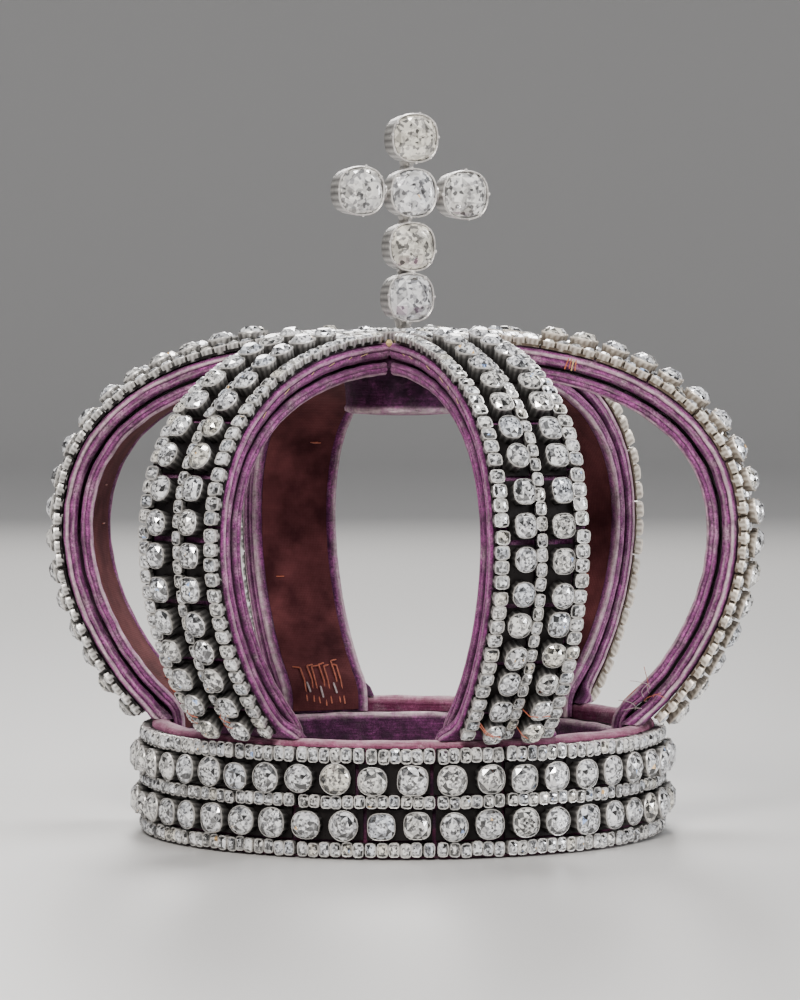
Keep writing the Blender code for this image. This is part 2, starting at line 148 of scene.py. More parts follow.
def stage_floor(around=96):
    """A pale floor that curves up into a wall all round."""
    turn = np.linspace(0, pi / 2, 13)
    profile = [(FLOOR_RADIUS + COVE_RADIUS * sin(a), COVE_RADIUS - COVE_RADIUS * cos(a)) for a in turn]
    profile.append((FLOOR_RADIUS + COVE_RADIUS, WALL_TOP))
    angles = np.arange(around) * tau / around
    vertices = [(0.0, 0.0, 0.0)] + [(r * cos(a), r * sin(a), z) for r, z in profile for a in angles]
    faces = [[0, 1 + j, 1 + (j + 1) % around] for j in range(around)]
    for i in range(len(profile) - 1):
        for j in range(around):
            a, b = 1 + i * around + j, 1 + i * around + (j + 1) % around
            faces.append([a, a + around, b + around, b])
    mesh = bpy.data.meshes.new("studio_floor")
    mesh.from_pydata(vertices, [], faces)
    mesh.shade_smooth()
    floor = add_object("studio_floor", mesh)
    mat = bpy.data.materials.new("pale_floor")
    mat.use_nodes = True
    shader = mat.node_tree.nodes["Principled BSDF"]
    shader.inputs["Base Color"].default_value = (0.52, 0.51, 0.50, 1)
    shader.inputs["Roughness"].default_value = 0.4
    mesh.materials.append(mat)


def lights():
    """Four soft lamps and a dim sky."""
    world = bpy.data.worlds.new("studio")
    bpy.context.scene.world = world
    world.use_nodes = True
    sky = world.node_tree.nodes["Background"]
    sky.inputs["Color"].default_value = (0.80, 0.82, 0.86, 1)
    sky.inputs["Strength"].default_value = 0.5
    for name, place, size, power, colour in LAMPS:
        light = bpy.data.lights.new(name, "AREA")
        light.size = size
        light.energy = power
        light.color = colour
        lamp = add_object(name, light)
        lamp.location = place
        lamp.rotation_euler = (Vector(LAMPS_AIM) - Vector(place)).to_track_quat("-Z", "Y").to_euler()


def camera():
    """The view that the photograph was taken from."""
    data = bpy.data.cameras.new("view")
    data.lens = LENS
    data.sensor_fit = "VERTICAL"
    data.sensor_height = 36.0
    data.clip_start, data.clip_end = 0.01, 20.0
    view = add_object("view", data)
    right = Vector((cos(VIEW_AZIMUTH), sin(VIEW_AZIMUTH), 0))
    back = Vector((sin(VIEW_AZIMUTH), -cos(VIEW_AZIMUTH), 0))
    aim = Vector((0, 0, AIM_HEIGHT)) - right * AIM_LEFT
    view.location = (back * VIEW_DISTANCE - right * AIM_LEFT + Vector((0, 0, VIEW_HEIGHT))) * MM
    view.rotation_euler = (aim * MM - view.location).to_track_quat("-Z", "Y").to_euler()
    bpy.context.scene.camera = view


# ---------------------------------------------------------------- materials


class Nodes:
    """A short way to write a material's node tree."""

    def __init__(self, name):
        self.material = bpy.data.materials.new(name)
        self.material.use_nodes = True
        self.tree = self.material.node_tree
        self.shader = self.tree.nodes["Principled BSDF"]
        self.place = self.add("ShaderNodeTexCoord").outputs["Object"]

    def add(self, kind, **settings):
        node = self.tree.nodes.new(kind)
        for key, value in settings.items():
            setattr(node, key, value)
        return node

    def link(self, source, target):
        self.tree.links.new(source, target)

    def set(self, **sockets):
        for key, value in sockets.items():
            self.shader.inputs[key.replace("_", " ")].default_value = value

    def attribute(self, name, output="Fac"):
        return self.add("ShaderNodeAttribute", attribute_name=name).outputs[output]

    def noise(self, scale, detail=3.0, roughness=0.55):
        node = self.add("ShaderNodeTexNoise")
        self.link(self.place, node.inputs["Vector"])
        node.inputs["Scale"].default_value = scale
        node.inputs["Detail"].default_value = detail
        node.inputs["Roughness"].default_value = roughness
        return node.outputs["Fac"]

    def cells(self, scale):
        node = self.add("ShaderNodeTexVoronoi", feature="F1")
        self.link(self.place, node.inputs["Vector"])
        node.inputs["Scale"].default_value = scale
        return node.outputs

    def ramp(self, factor, *stops):
        node = self.add("ShaderNodeValToRGB")
        self.link(factor, node.inputs["Fac"])
        ramp = node.color_ramp
        while len(ramp.elements) < len(stops):
            ramp.elements.new(0.5)
        for element, (at, colour) in zip(ramp.elements, stops):
            element.position = at
            element.color = (*colour, 1) if len(colour) == 3 else colour
        return node.outputs["Color"]

    def levels(self, factor, low, high, start=0.0, end=1.0):
        node = self.add("ShaderNodeMapRange", clamp=True)
        self.link(factor, node.inputs["Value"])
        for socket, value in zip(("From Min", "From Max", "To Min", "To Max"), (low, high, start, end)):
            node.inputs[socket].default_value = value
        return node.outputs["Result"]

    def math(self, operation, a, b):
        node = self.add("ShaderNodeMath", operation=operation)
        for socket, value in zip(node.inputs, (a, b)):
            if isinstance(value, (int, float)):
                socket.default_value = value
            else:
                self.link(value, socket)
        return node.outputs[0]

    def times(self, product, *factors):
        for factor in factors:
            product = self.math("MULTIPLY", product, factor)
        return product

    def mix(self, factor, a, b, blend="MIX"):
        node = self.add("ShaderNodeMix", data_type="RGBA", blend_type=blend)
        for socket, value in zip((node.inputs[0], node.inputs[6], node.inputs[7]), (factor, a, b)):
            if isinstance(value, tuple):
                socket.default_value = (*value, 1)
            elif isinstance(value, (int, float)):
                socket.default_value = value
            else:
                self.link(value, socket)
        return node.outputs[2]

    def bump(self, height, distance, strength=1.0):
        node = self.add("ShaderNodeBump")
        node.inputs["Distance"].default_value = distance
        node.inputs["Strength"].default_value = strength
        self.link(height, node.inputs["Height"])
        self.link(node.outputs["Normal"], self.shader.inputs["Normal"])

    def colour(self, source):
        self.link(source, self.shader.inputs["Base Color"])

    def roughness(self, source):
        self.link(source, self.shader.inputs["Roughness"])


def velvet(name, deep, bright, pale, dark=(0.018, 0.004, 0.016)):
    """Cut velvet: streaks of pile along the cloth, a soft sheen, a bare, pale weave where it is worn, and
    painted shade that darkens it where its pieces mark shade.
    """
    m = Nodes(name)
    grain = m.add("ShaderNodeTexNoise")
    m.link(m.attribute("grain", "Vector"), grain.inputs["Vector"])
    grain.inputs["Scale"].default_value = 1.0
    grain.inputs["Detail"].default_value = 4.0
    streaks = m.levels(grain.outputs["Fac"], 0.30, 0.70)
    patches = m.levels(m.noise(330, 5, 0.7), 0.36, 0.62, 0.2, 1.0)
    pile = m.noise(2100, 4, 0.85)
    tufts = m.levels(pile, 0.38, 0.62, 0.15, 1.25)
    lit = m.times(patches, m.levels(streaks, 0, 1, 0.3, 1.0), tufts)
    cloth = m.mix(lit, deep, bright)
    weave = m.levels(m.noise(520, 6, 0.75), 0.36, 0.62, 0.3, 1.0)
    bare = m.times(weave, m.levels(streaks, 0, 1, 0.5, 1.0))
    scuffs = m.times(m.levels(m.noise(210, 5, 0.7), 0.5, 0.7, 0.0, 0.4), tufts)
    rubbed = m.math("MAXIMUM", m.times(m.attribute("wear"), bare), scuffs)
    # painted shade: each point's shade value, broken up a little by noise, darkens the velvet towards its
    # dark colour
    painted_shade = m.times(m.attribute("shade"), m.levels(m.noise(420, 3), 0.35, 0.6, 0.72, 1.0))
    shaded = m.mix(painted_shade, m.mix(rubbed, cloth, pale), dark)
    m.colour(shaded)
    m.roughness(m.levels(pile, 0.2, 0.8, 0.72, 0.95))
    m.set(Sheen_Weight=0.22, Sheen_Roughness=0.35, Sheen_Tint=(0.95, 0.45, 0.75, 1), Specular_IOR_Level=0.25)
    relief = m.math("ADD", m.times(grain.outputs["Fac"], 2.0), m.noise(5200, 1))
    m.bump(relief, 0.00022, 0.8)
    return m.material


def woven_cloth(name, dark, light):
    """A faded plain weave for the linings."""
    m = Nodes(name)
    waves = []
    for direction in ("X", "Z"):
        wave = m.add("ShaderNodeTexWave", wave_type="BANDS", bands_direction=direction)
        m.link(m.place, wave.inputs["Vector"])
        wave.inputs["Scale"].default_value = 900
        wave.inputs["Distortion"].default_value = 1.2
        waves.append(wave.outputs["Fac"])
    weave = m.times(*waves)
    faded = m.levels(m.noise(140, 4), 0.35, 0.7)
    m.colour(m.mix(m.times(faded, m.levels(weave, 0, 1, 0.7, 1.0)), dark, light))
    m.roughness(m.levels(weave, 0, 1, 0.9, 0.75))
    m.set(Sheen_Weight=0.12, Sheen_Roughness=0.5, Sheen_Tint=(0.8, 0.4, 0.4, 1), Specular_IOR_Level=0.08)
    m.bump(weave, 0.00008, 0.6)
    return m.material


def silver(name, bright, dull, metallic=1.0):
    """Old silver: clean where it is rubbed, grey-brown in the recesses."""
    m = Nodes(name)
    clean = m.times(m.attribute("clean"), m.levels(m.noise(900, 4), 0.25, 0.7, 0.6, 1.0))
    m.colour(m.mix(clean, dull, bright))
    m.roughness(m.levels(m.noise(1800, 3), 0.3, 0.7, 0.26, 0.5))
    m.set(Metallic=metallic, Specular_IOR_Level=0.2)
    m.bump(m.noise(3800, 2), 0.00004, 0.5)
    return m.material


def diamond(name, fineness):
    """A cut stone, with what its inner facets throw back painted on it facet by facet."""
    m = Nodes(name)
    cells = m.cells(fineness)
    split = m.add("ShaderNodeSeparateColor")
    m.link(cells["Color"], split.inputs["Color"])
    flashes = m.ramp(
        split.outputs["Red"],
        (0.0, (0.02, 0.02, 0.025)),
        (0.16, (0.20, 0.20, 0.22)),
        (0.42, (0.80, 0.80, 0.82)),
        (0.65, (1.0, 1.0, 1.0)),
    )
    # painted reflections: each facet's painted grey, with the stone's tint, times a finer mosaic of painted
    # flashes
    m.colour(m.mix(0.9, m.attribute("facet", "Color"), flashes, "MULTIPLY"))
    m.set(Roughness=0.06, IOR=2.42, Metallic=0.2)
    return m.material


def thread(name, colour):
    """Spun thread, painted darker in small patches as shade in its hollows."""
    m = Nodes(name)
    m.colour(m.mix(m.levels(m.noise(2500, 2), 0.3, 0.7), tuple(c * 0.45 for c in colour), colour))
    m.roughness(m.levels(m.noise(3000, 2), 0.3, 0.7, 0.45, 0.7))
    m.set(Sheen_Weight=0.4)
    m.bump(m.noise(4000, 1), 0.00005, 0.6)
    return m.material


MATERIALS = {
    "velvet": velvet("purple_velvet", (0.032, 0.005, 0.026), (0.56, 0.12, 0.43), (0.80, 0.67, 0.65)),
    "rim_velvet": velvet("faded_rim_velvet", (0.13, 0.014, 0.050), (0.42, 0.10, 0.23), (0.74, 0.58, 0.60)),
    "lining": woven_cloth("maroon_lining", (0.036, 0.009, 0.011), (0.145, 0.043, 0.045)),
    "silver": silver("old_silver", (0.92, 0.89, 0.85), (0.014, 0.012, 0.012), 0.6),
    # painted light: a paler, creamier copy of the old silver, for the two brightly lit right arches
    "painted_lit_silver": silver("painted_lit_silver", (0.93, 0.85, 0.74), (0.10, 0.075, 0.055), 0.35),
    "frame_metal": silver("frame_metal", (0.30, 0.28, 0.26), (0.05, 0.045, 0.045)),
    "stone": diamond("old_cut_stone", 2300),
    "cross_stone": diamond("cross_stone", 1450),
    "red_thread": thread("red_thread", (0.60, 0.13, 0.05)),
    "gold_thread": thread("gold_thread", (0.75, 0.52, 0.20)),
    "pale_thread": thread("pale_thread", (0.62, 0.50, 0.50)),
}


# ---------------------------------------------------------------- outlines


class Outline:
    """The side view of something that runs along an arch: distance from the axis and height, by length."""

    def __init__(self, points):
        points = np.asarray(points, float)
        steps = np.linalg.norm(np.diff(points, axis=0), axis=1)
        self.lengths = np.concatenate([[0], np.cumsum(steps)])
        self.points = points
        along = np.gradient(points, self.lengths, axis=0)
        along /= np.linalg.norm(along, axis=1)[:, None]
        self.normals = np.stack([-along[:, 1], along[:, 0]], 1)
        self.total = self.lengths[-1]

    def at(self, s, stand=0.0):
        """Point and outward normal at a length, with the point moved outwards by stand."""
        point = np.array([np.interp(s, self.lengths, self.points[:, k]) for k in (0, 1)]).T
        normal = np.array([np.interp(s, self.lengths, self.normals[:, k]) for k in (0, 1)]).T
        return point + normal * np.asarray(stand)[..., None], normal

    def where(self, column, value, after=0.0):
        """The length at which the distance (0) or height (1) first passes a value, after some length."""
        values = self.points[:, column] - value
        for i in range(len(values) - 1):
            if self.lengths[i] >= after and values[i] * values[i + 1] <= 0 and values[i] != values[i + 1]:
                share = values[i] / (values[i] - values[i + 1])
                return self.lengths[i] + share * (self.lengths[i + 1] - self.lengths[i])
        return self.total


def arch_outline():
    """The velvet's outer face, with a straight run past its foot."""
    points = []
    for span in (SPAN_TOP, SPAN_FOOT):
        knots = [Vector((u, z, 0)) for u, z in span]
        run = interpolate_bezier(*knots, 160)
        points += [(p.x, p.y) for p in (run[1:] if points else run)]
    last, before = np.array(points[-1]), np.array(points[-2])
    way = (last - before) / np.linalg.norm(last - before)
    points += [tuple(last + way * FOOT_RUN_ON * k / 12) for k in range(1, 13)]
    return Outline(points)


def smoothed(points, rounds):
    """Points with their corners rounded off, and their ends kept."""
    for _ in range(rounds):
        points = np.concatenate([points[:1], (points[:-2] + 2 * points[1:-1] + points[2:]) / 4, points[-1:]])
    return points


def lining_outline():
    """The lining's outer face: it follows the arch and turns down inside the circlet at its foot."""
    s = np.linspace(0, ARCH.total, 400)
    face, _ = ARCH.at(s, np.full(len(s), -LINING_DEPTH))
    widest = int(face[:, 0].argmax())
    last = widest + int(np.argmax(face[widest:, 0] < LINING_RADIUS))
    heights = np.linspace(face[last, 1], LINING_TOP + 0.3, 22)[1:]
    leg = np.stack([np.full(len(heights), LINING_RADIUS), heights], 1)
    return Outline(smoothed(np.concatenate([face[:last], leg]), 60))


ARCH = arch_outline()
ARCH_START = ARCH.where(0, HUB_EDGE)
WIDEST = ARCH.lengths[int(ARCH.points[:, 0].argmax())]
FOOT_LENGTH = ARCH.where(1, FOOT_LEVEL, WIDEST)
FIRST_COLLET_LENGTH = ARCH.where(0, FIRST_COLLET)
LAST_COLLET_LENGTH = ARCH.where(1, LAST_COLLET_HEIGHT, WIDEST)
LINING = lining_outline()


def round_axes(angle):
    """Outward and rightward directions, as seen from outside, at an angle round the crown."""
    return np.array([sin(angle), -cos(angle), 0.0]), np.array([cos(angle), sin(angle), 0.0])


def arch_axes(index):
    """An arch's outward and rightward directions."""
    return round_axes(tau * index / len(ARCH_NAMES))


def on_arch(index, flat, across):
    """World places from side-view points and their offsets across the arch."""
    out, right = arch_axes(index)
    flat, across = np.asarray(flat, float), np.asarray(across, float)
    return (flat[..., 0:1] * out + across[..., None] * right + flat[..., 1:2] * np.array([0, 0, 1.0])) * MM


# ---------------------------------------------------------------- mesh building


class Shape:
    """Collects vertices, faces and their values for one piece."""

    def __init__(self):
        self.vertices, self.faces, self.count = [], [], 0
        self.layers, self.face_colours = {}, []

    def add(self, vertices, faces, colours=None, **layers):
        vertices = np.asarray(vertices, float)
        self.vertices.append(vertices)
        self.faces += [[self.count + i for i in face] for face in faces]
        for key, values in layers.items():
            values = np.asarray(values, float)
            shape = (len(vertices), *values.shape[1:]) if values.ndim else (len(vertices),)
            self.layers.setdefault(key, []).append(np.broadcast_to(values, shape))
        if colours is not None:
            self.face_colours.append(colours)
        self.count += len(vertices)

    def stamp(self, template, origin, axes, colours=None):
        """Adds a template: its x, y and z run along the three axes, which also scale it."""
        vertices, faces, clean = template
        layers = {"clean": clean} if colours is None else {}
        self.add(origin + vertices @ np.asarray(axes), faces, colours, **layers)

    def write_layers(self, mesh):
        for key, parts in self.layers.items():
            values = np.concatenate(parts).astype(np.float32)
            kind, field = ("FLOAT_VECTOR", "vector") if values.ndim == 2 else ("FLOAT", "value")
            mesh.attributes.new(key, kind, "POINT").data.foreach_set(field, values.ravel())
        if self.face_colours:
            layer = mesh.attributes.new("facet", "FLOAT_COLOR", "CORNER")
            sizes = [len(face) for face in self.faces]
            colours = np.repeat(np.concatenate(self.face_colours), sizes, axis=0)
            colours = np.concatenate([colours, np.ones((len(colours), 1))], axis=1)
            layer.data.foreach_set("color", colours.astype(np.float32).ravel())

    def piece(self, name, material, slot, smooth=0, stands_for=None):
        """Makes the collected mesh into a piece of the crown."""
        mesh = bpy.data.meshes.new(name)
        mesh.from_pydata(np.concatenate(self.vertices).tolist(), [], self.faces)
        self.write_layers(mesh)
        mesh.materials.append(MATERIALS[material])
        if smooth:
            mesh.shade_smooth()
            mesh.set_sharp_from_angle(angle=radians(smooth))
        ob = add_object(name, mesh)
        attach(ob, "root")
        if stands_for:
            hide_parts(stands_for)
        return ob


def grid_faces(rows, columns, wrap_rows=False, wrap_columns=True):
    """Quads over a grid of rows by columns."""
    faces = []
    for i in range(rows if wrap_rows else rows - 1):
        for j in range(columns if wrap_columns else columns - 1):
            k, l = (i + 1) % rows, (j + 1) % columns
            faces.append([i * columns + j, i * columns + l, k * columns + l, k * columns + j])
    return faces


def swell(points, size, scale):
    """A smooth unevenness, the same each run."""
    return np.array([noise.noise(Vector(p) * scale) for p in points]) * size


def perimeter(section):
    """How far round a section each of its points lies."""
    steps = np.linalg.norm(np.diff(section, axis=0), axis=1)
    return np.concatenate([[0], np.cumsum(steps)])


GRAIN_ALONG, GRAIN_ROUND = 0.22, 2.4  # how close the velvet's streaks are, along it and across
HILL_SIZE, HILL_SCALE = 0.16, 0.35  # its unevenness: how high, and how closely the hills follow each other
RIPPLE_SCALE = 0.16  # the same for the waves in the circlet's top edges


def swept_band(shape, index, outline, section, looks, start, stop, stations, foot=None, spread=0.0):
    """A closed section of (across, stand) points swept along an outline, and cut level at its foot.

    looks has the wear and the painted shade of each point of the section.
    """
    section = np.asarray(section, float)
    points = len(section)
    s = np.linspace(start, stop, stations)
    across, stand = (np.tile(section[:, k], (stations, 1)) for k in (0, 1))
    if foot is not None:
        near = np.exp(-np.clip(FOOT_LENGTH - s, 0, None) / SPREAD_REACH)
        across = across * (1 + spread * near)[:, None]
    flat = np.empty((stations, points, 2))
    for j in range(points):
        flat[:, j], normals = outline.at(s, stand[:, j])
    if foot is not None:
        ways = np.stack([normals[:, 1], -normals[:, 0]], 1)[:, None, :]
        past = np.where(flat[..., 1] < foot, (foot - flat[..., 1]) / ways[..., 1], 0)
        flat = flat + ways * past[..., None]
    world = on_arch(index, flat, across).reshape(-1, 3)
    lift = np.repeat(on_arch(index, normals, np.zeros(stations)), points, axis=0)
    world = world + lift * swell(world / MM, HILL_SIZE, HILL_SCALE)[:, None]
    faces = grid_faces(stations, points)
    faces += [list(range(points))[::-1], [(stations - 1) * points + j for j in range(points)]]
    along, around = np.repeat(s, points), np.tile(perimeter(section), stations)
    grain = np.stack([along * GRAIN_ALONG, around * GRAIN_ROUND, np.full(len(along), index)], 1)
    wear, shade = (np.tile(column, stations) for column in np.asarray(looks, float).T)
    shape.add(world, outward(faces, world), wear=wear, grain=grain, shade=shade)


def mirrored(half):
    """A closed section from its right half, listed from the top middle round to the bottom middle."""
    return half + [(-a, b, *rest) for a, b, *rest in half[::-1] if a > 0]


def outward(faces, vertices):
    """Turns all faces over if they point into the closed shape."""
    triangles = np.array([(f[0], f[i], f[i + 1]) for f in faces for i in range(1, len(f) - 1)])
    a, b, c = (np.asarray(vertices)[triangles[:, k]] for k in range(3))
    if (a * np.cross(b, c)).sum() < 0:
        return [f[::-1] for f in faces]
    return faces


# ---------------------------------------------------------------- velvet bands and linings

# Right half of each layer's section: across, stand, wear, painted shade (darker under the stones, in the
# grooves and underneath)
OUTER_SECTION = [
    (0.0, 0.0, 0.0, 0.9),
    (6.0, 0.0, 0.0, 0.6),
    (8.4, -0.06, 0.0, 0.6),
    (9.2, -0.2, 0.0, 0.7),
    (9.55, -0.45, 0.0, 0.15),
    (9.7, -0.75, 0.7, 0.0),
    (9.8, -1.0, 1.0, 0.0),
    (9.68, -1.25, 0.6, 0.1),
    (9.46, -1.42, 0.0, 0.8),
    (9.62, -1.65, 0.0, 0.1),
    (9.66, -1.95, 0.1, 0.0),
    (9.56, -2.3, 0.35, 0.0),
    (9.46, -2.6, 0.0, 0.6),
    (9.3, -2.95, 0.0, 0.7),
    (8.8, -3.05, 0.0, 1.0),
    (8.2, -2.7, 0.0, 1.0),
    (7.4, -2.4, 0.0, 1.0),
    (0.0, -2.4, 0.0, 1.0),
]
LINING_SECTION = [
    (0.0, 0.0, 0.0, 1.0),
    (7.6, 0.0, 0.0, 1.0),
    (8.3, 0.3, 0.0, 1.0),
    (8.9, 0.55, 0.0, 1.0),
    (9.4, 0.35, 0.0, 0.5),
    (9.62, 0.0, 0.1, 0.0),
    (9.5, -0.3, 0.3, 0.0),
    (9.42, -0.45, 0.0, 0.7),
    (9.62, -0.7, 0.0, 0.0),
    (9.66, -0.95, 0.1, 0.0),
    (9.48, -1.25, 0.0, 0.6),
    (9.5, -1.55, 0.6, 0.0),
    (9.1, -1.85, 0.9, 0.0),
    (8.5, -1.9, 0.3, 0.1),
    (7.9, -1.75, 0.0, 0.3),
    (7.3, -1.5, 0.0, 0.9),
    (7.0, -1.3, 0.0, 1.0),
    (0.0, -1.3, 0.0, 1.0),
]
CLOTH_HALF_WIDTH, CLOTH_STAND, CLOTH_THICKNESS = 7.3, -1.62, 0.28


def outer_velvet(index):
    """The outer band, which carries the stones."""
    name = ARCH_NAMES[index]
    columns = np.array(mirrored(OUTER_SECTION))
    section, looks = columns[:, :2], columns[:, 2:] * [RIDGE_WEAR.get(name, 1.0), 1.0]
    stop = min(ARCH.total, FOOT_LENGTH + 4.0)
    band = Shape()
    swept_band(band, index, ARCH, section, looks, ARCH_START, stop, 110, FOOT_LEVEL, FOOT_SPREAD)
    band.piece(f"arch_{name}_velvet", "velvet", "velvet", 60, f"arch_{name}_outer_band")


def lining_velvet(index):
    """The lining's rolled velvet edges, and the maroon cloth between them."""
    arch = f"arch_{ARCH_NAMES[index]}"
    columns = np.array(mirrored(LINING_SECTION))
    start = LINING.where(0, HUB_EDGE + 0.3)
    edges = Shape()
    swept_band(edges, index, LINING, columns[:, :2], columns[:, 2:], start, LINING.total, 90)
    edges.piece(f"{arch}_lining_edges", "velvet", "velvet", 60, f"{arch}_lining_band")

    w, low, high = CLOTH_HALF_WIDTH, CLOTH_STAND, CLOTH_STAND + CLOTH_THICKNESS
    belly, sag = w * 0.6, low - 0.05
    section = [(-w, high), (-w, low), (-belly, sag), (belly, sag), (w, low), (w, high)]
    begin, stop = start + 0.3, LINING.total - 0.4
    cloth = Shape()
    swept_band(cloth, index, LINING, section, np.zeros((len(section), 2)), begin, stop, 70)
    piece = cloth.piece(f"{arch}_lining_cloth", "lining", "lining", 40)


def turned(profile, steps, ripple=0.0):
    """A closed profile of (radius, height) turned round the axis, with its top edge a little uneven."""
    angles = np.arange(steps) * tau / steps
    out = np.stack([np.sin(angles), -np.cos(angles), np.zeros(steps)], 1)
    vertices = profile[None, :, 0:1] * out[:, None, :] + np.array([0, 0, 1.0]) * profile[None, :, 1:2]
    vertices = vertices.reshape(-1, 3)
    if ripple:
        top = (profile[:, 1] - profile[:, 1].min()) / np.ptp(profile[:, 1])
        vertices[:, 2] += swell(vertices, ripple, RIPPLE_SCALE) * np.tile(top**3, steps)
    return vertices, outward(grid_faces(steps, len(profile), wrap_rows=True), vertices)


def turned_velvet(name, profile, steps, ripple, material, slot, stands_for):
    """A velvet piece from a profile of (radius, height, wear, painted shade)."""
    profile = np.array(profile)
    vertices, faces = turned(profile[:, :2], steps, ripple)
    around = np.tile(perimeter(profile[:, :2]), steps)
    grain = np.column_stack([vertices[:, :2] * GRAIN_ALONG, around * GRAIN_ROUND])
    wear, shade = (np.tile(profile[:, k], steps) for k in (2, 3))
    shape = Shape()
    shape.add(vertices * MM, faces, grain=grain, shade=shade, wear=wear)
    shape.piece(name, material, slot, 60, stands_for)


def circlet_velvet():
    """The circlet's upright band, with its worn rim and painted shade on its face and inner wall."""
    r, inner, top = BAND_RADIUS, BAND_RADIUS - BAND_THICKNESS, BAND_TOP
    # radius, height, wear, painted shade: the shade darkens the face behind the stones and the inner wall
    profile = [
        (r - 0.5, 0.0, 0.1, 0.6),
        (r - 0.1, 0.35, 0.35, 0.6),
        (r, 1.0, 0.0, 0.95),
        (r, 6.0, 0.0, 1.0),
        (r, 12.0, 0.0, 1.0),
        (r, 18.0, 0.0, 1.0),
        (r, top - 2.0, 0.0, 0.8),
        (r + 0.05, top - 1.3, 0.05, 0.0),
        (r + 0.05, top - 0.8, 0.2, 0.0),
        (r - 0.25, top - 0.3, 0.4, 0.0),
        (r - 0.9, top, 0.8, 0.0),
        (r - 1.9, top + 0.1, 1.0, 0.0),
        (r - 3.0, top - 0.05, 0.8, 0.0),
        (inner + 0.1, top - 0.6, 0.3, 0.0),
        (inner, top - 1.6, 0.0, 0.5),
        (inner, 8.0, 0.0, 0.8),
        (inner, 0.4, 0.0, 0.8),
        (inner + 0.4, 0.0, 0.1, 0.5),
    ]
    turned_velvet("circlet_velvet", profile, 240, 0.25, "rim_velvet", "velvet", "circlet_band")


def circlet_inner_velvet():
    """The lower ring inside the band."""
    r, inner, low, top = LINING_RADIUS, LINING_RADIUS - LINING_THICKNESS, LINING_BOTTOM, LINING_TOP
    # radius, height, wear, painted shade: the shade darkens the inner face
    profile = [
        (inner + 0.5, low, 0.1, 0.0),
        (inner, low + 0.5, 0.2, 0.0),
        (inner - 0.05, 6.0, 0.0, 0.95),
        (inner - 0.05, 14.0, 0.0, 0.95),
        (inner - 0.1, top - 1.4, 0.0, 0.85),
        (inner, top - 0.4, 0.75, 0.0),
        (inner + 0.5, top, 1.0, 0.0),
        (inner + 1.2, top, 0.8, 0.0),
        (r, top - 0.4, 0.2, 0.0),
        (r, 8.0, 0.0, 0.0),
        (r, low, 0.0, 0.0),
    ]
    turned_velvet("circlet_inner_velvet", profile, 220, 0.3, "velvet", "velvet_lining", "circlet_lining")


# ---------------------------------------------------------------- stones and collets


def ring(count, radius, height, turn=0.0, square=0.0):
    """Points round a circle, which square draws towards a cushion shape."""
    angles = (np.arange(count) + turn) * tau / count
    radius = radius * (1 - square * np.cos(4 * angles))
    return np.stack([radius * np.cos(angles), radius * np.sin(angles), np.full(count, height)], 1)


def zigzag(a, b, count):
    """Triangles between two rings of the same count, the second turned half a step on."""
    faces = []
    for i in range(count):
        j = (i + 1) % count
        faces += [[a + i, b + i, a + j], [b + i, b + j, a + j]]
    return faces


def brilliant(square=0.0, table=0.52, sides=8):
    """An old-cut stone of girdle radius 1 and crown height 1, with a small middle facet in its table for the
    culet's painted shadow.
    """
    rings = [
        ring(sides, 0.10, 1.0, 0.0, square),
        ring(sides, 0.32, 1.0, 0.5, square),
        ring(sides, table, 1.0, 0.0, square),
        ring(sides, 0.80, 0.55, 0.5, square),
        ring(2 * sides, 1.0, 0.04, 0.0, square),
        ring(2 * sides, 0.98, -0.2, 0.0, square),
    ]
    starts = np.concatenate([[0], np.cumsum([len(r) for r in rings])])
    a, b, c, d, e, f = starts[:6]
    faces = [list(range(sides))] + zigzag(a, b, sides)
    for i in range(sides):
        j = (i + 1) % sides
        faces += [[b + i, c + i, c + j], [b + i, c + j, b + j]]
        faces += [[c + i, d + i, c + j], [d + i, d + j, c + j]]
        g, h, k = e + 2 * i, e + 2 * i + 1, e + (2 * i + 2) % (2 * sides)
        faces += [[d + i, g, h], [d + i, h, k], [d + i, k, d + j]]
    n = 2 * sides
    faces += [[e + i, f + i, f + (i + 1) % n, e + (i + 1) % n] for i in range(n)]
    faces.append([f + i for i in reversed(range(n))])
    vertices = np.concatenate(rings)
    return vertices, faces, np.zeros(len(vertices))


def small_brilliant(square):
    """A small stone: table, eight crown facets and a girdle."""
    rings = [
        ring(4, 0.30, 1.0, 0.5, 0),
        ring(8, 0.62, 0.86, 0.0, square),
        ring(8, 1.0, 0.1, 0.0, square),
        ring(8, 0.97, -0.3, 0.0, square),
    ]
    vertices = np.concatenate(rings)
    faces = [[0, 1, 2, 3]]
    for i in range(4):
        a, b, c = 4 + 2 * i, 5 + 2 * i, 4 + (2 * i + 2) % 8
        faces += [[i, a, b], [i, b, c], [i, c, (i + 1) % 4]]
    for i in range(8):
        j = (i + 1) % 8
        faces += [[4 + i, 12 + i, 12 + j, 4 + j], [12 + i, 20 + i, 20 + j, 12 + j]]
    faces.append([20 + i for i in reversed(range(8))])
    return vertices, faces, np.zeros(len(vertices))


def collet(ribs, levels, square=0.0):
    """A cup with a fluted wall, from levels of (radius, height, flute depth, clean), foot first."""
    count = 2 * ribs
    odd = np.arange(count) % 2
    vertices, values = [], []
    for radius, height, flute, clean in levels:
        circle = ring(count, 1.0, height, 0.0, square)
        circle[:, :2] *= (radius - flute * odd)[:, None]
        vertices.append(circle)
        values.append(clean * (1 - 0.7 * odd * (flute > 0)))
    faces = grid_faces(len(levels), count)
    last = (len(levels) - 1) * count
    faces += [list(range(count))[::-1], [last + j for j in range(count)]]
    return np.concatenate(vertices), faces, np.concatenate(values)


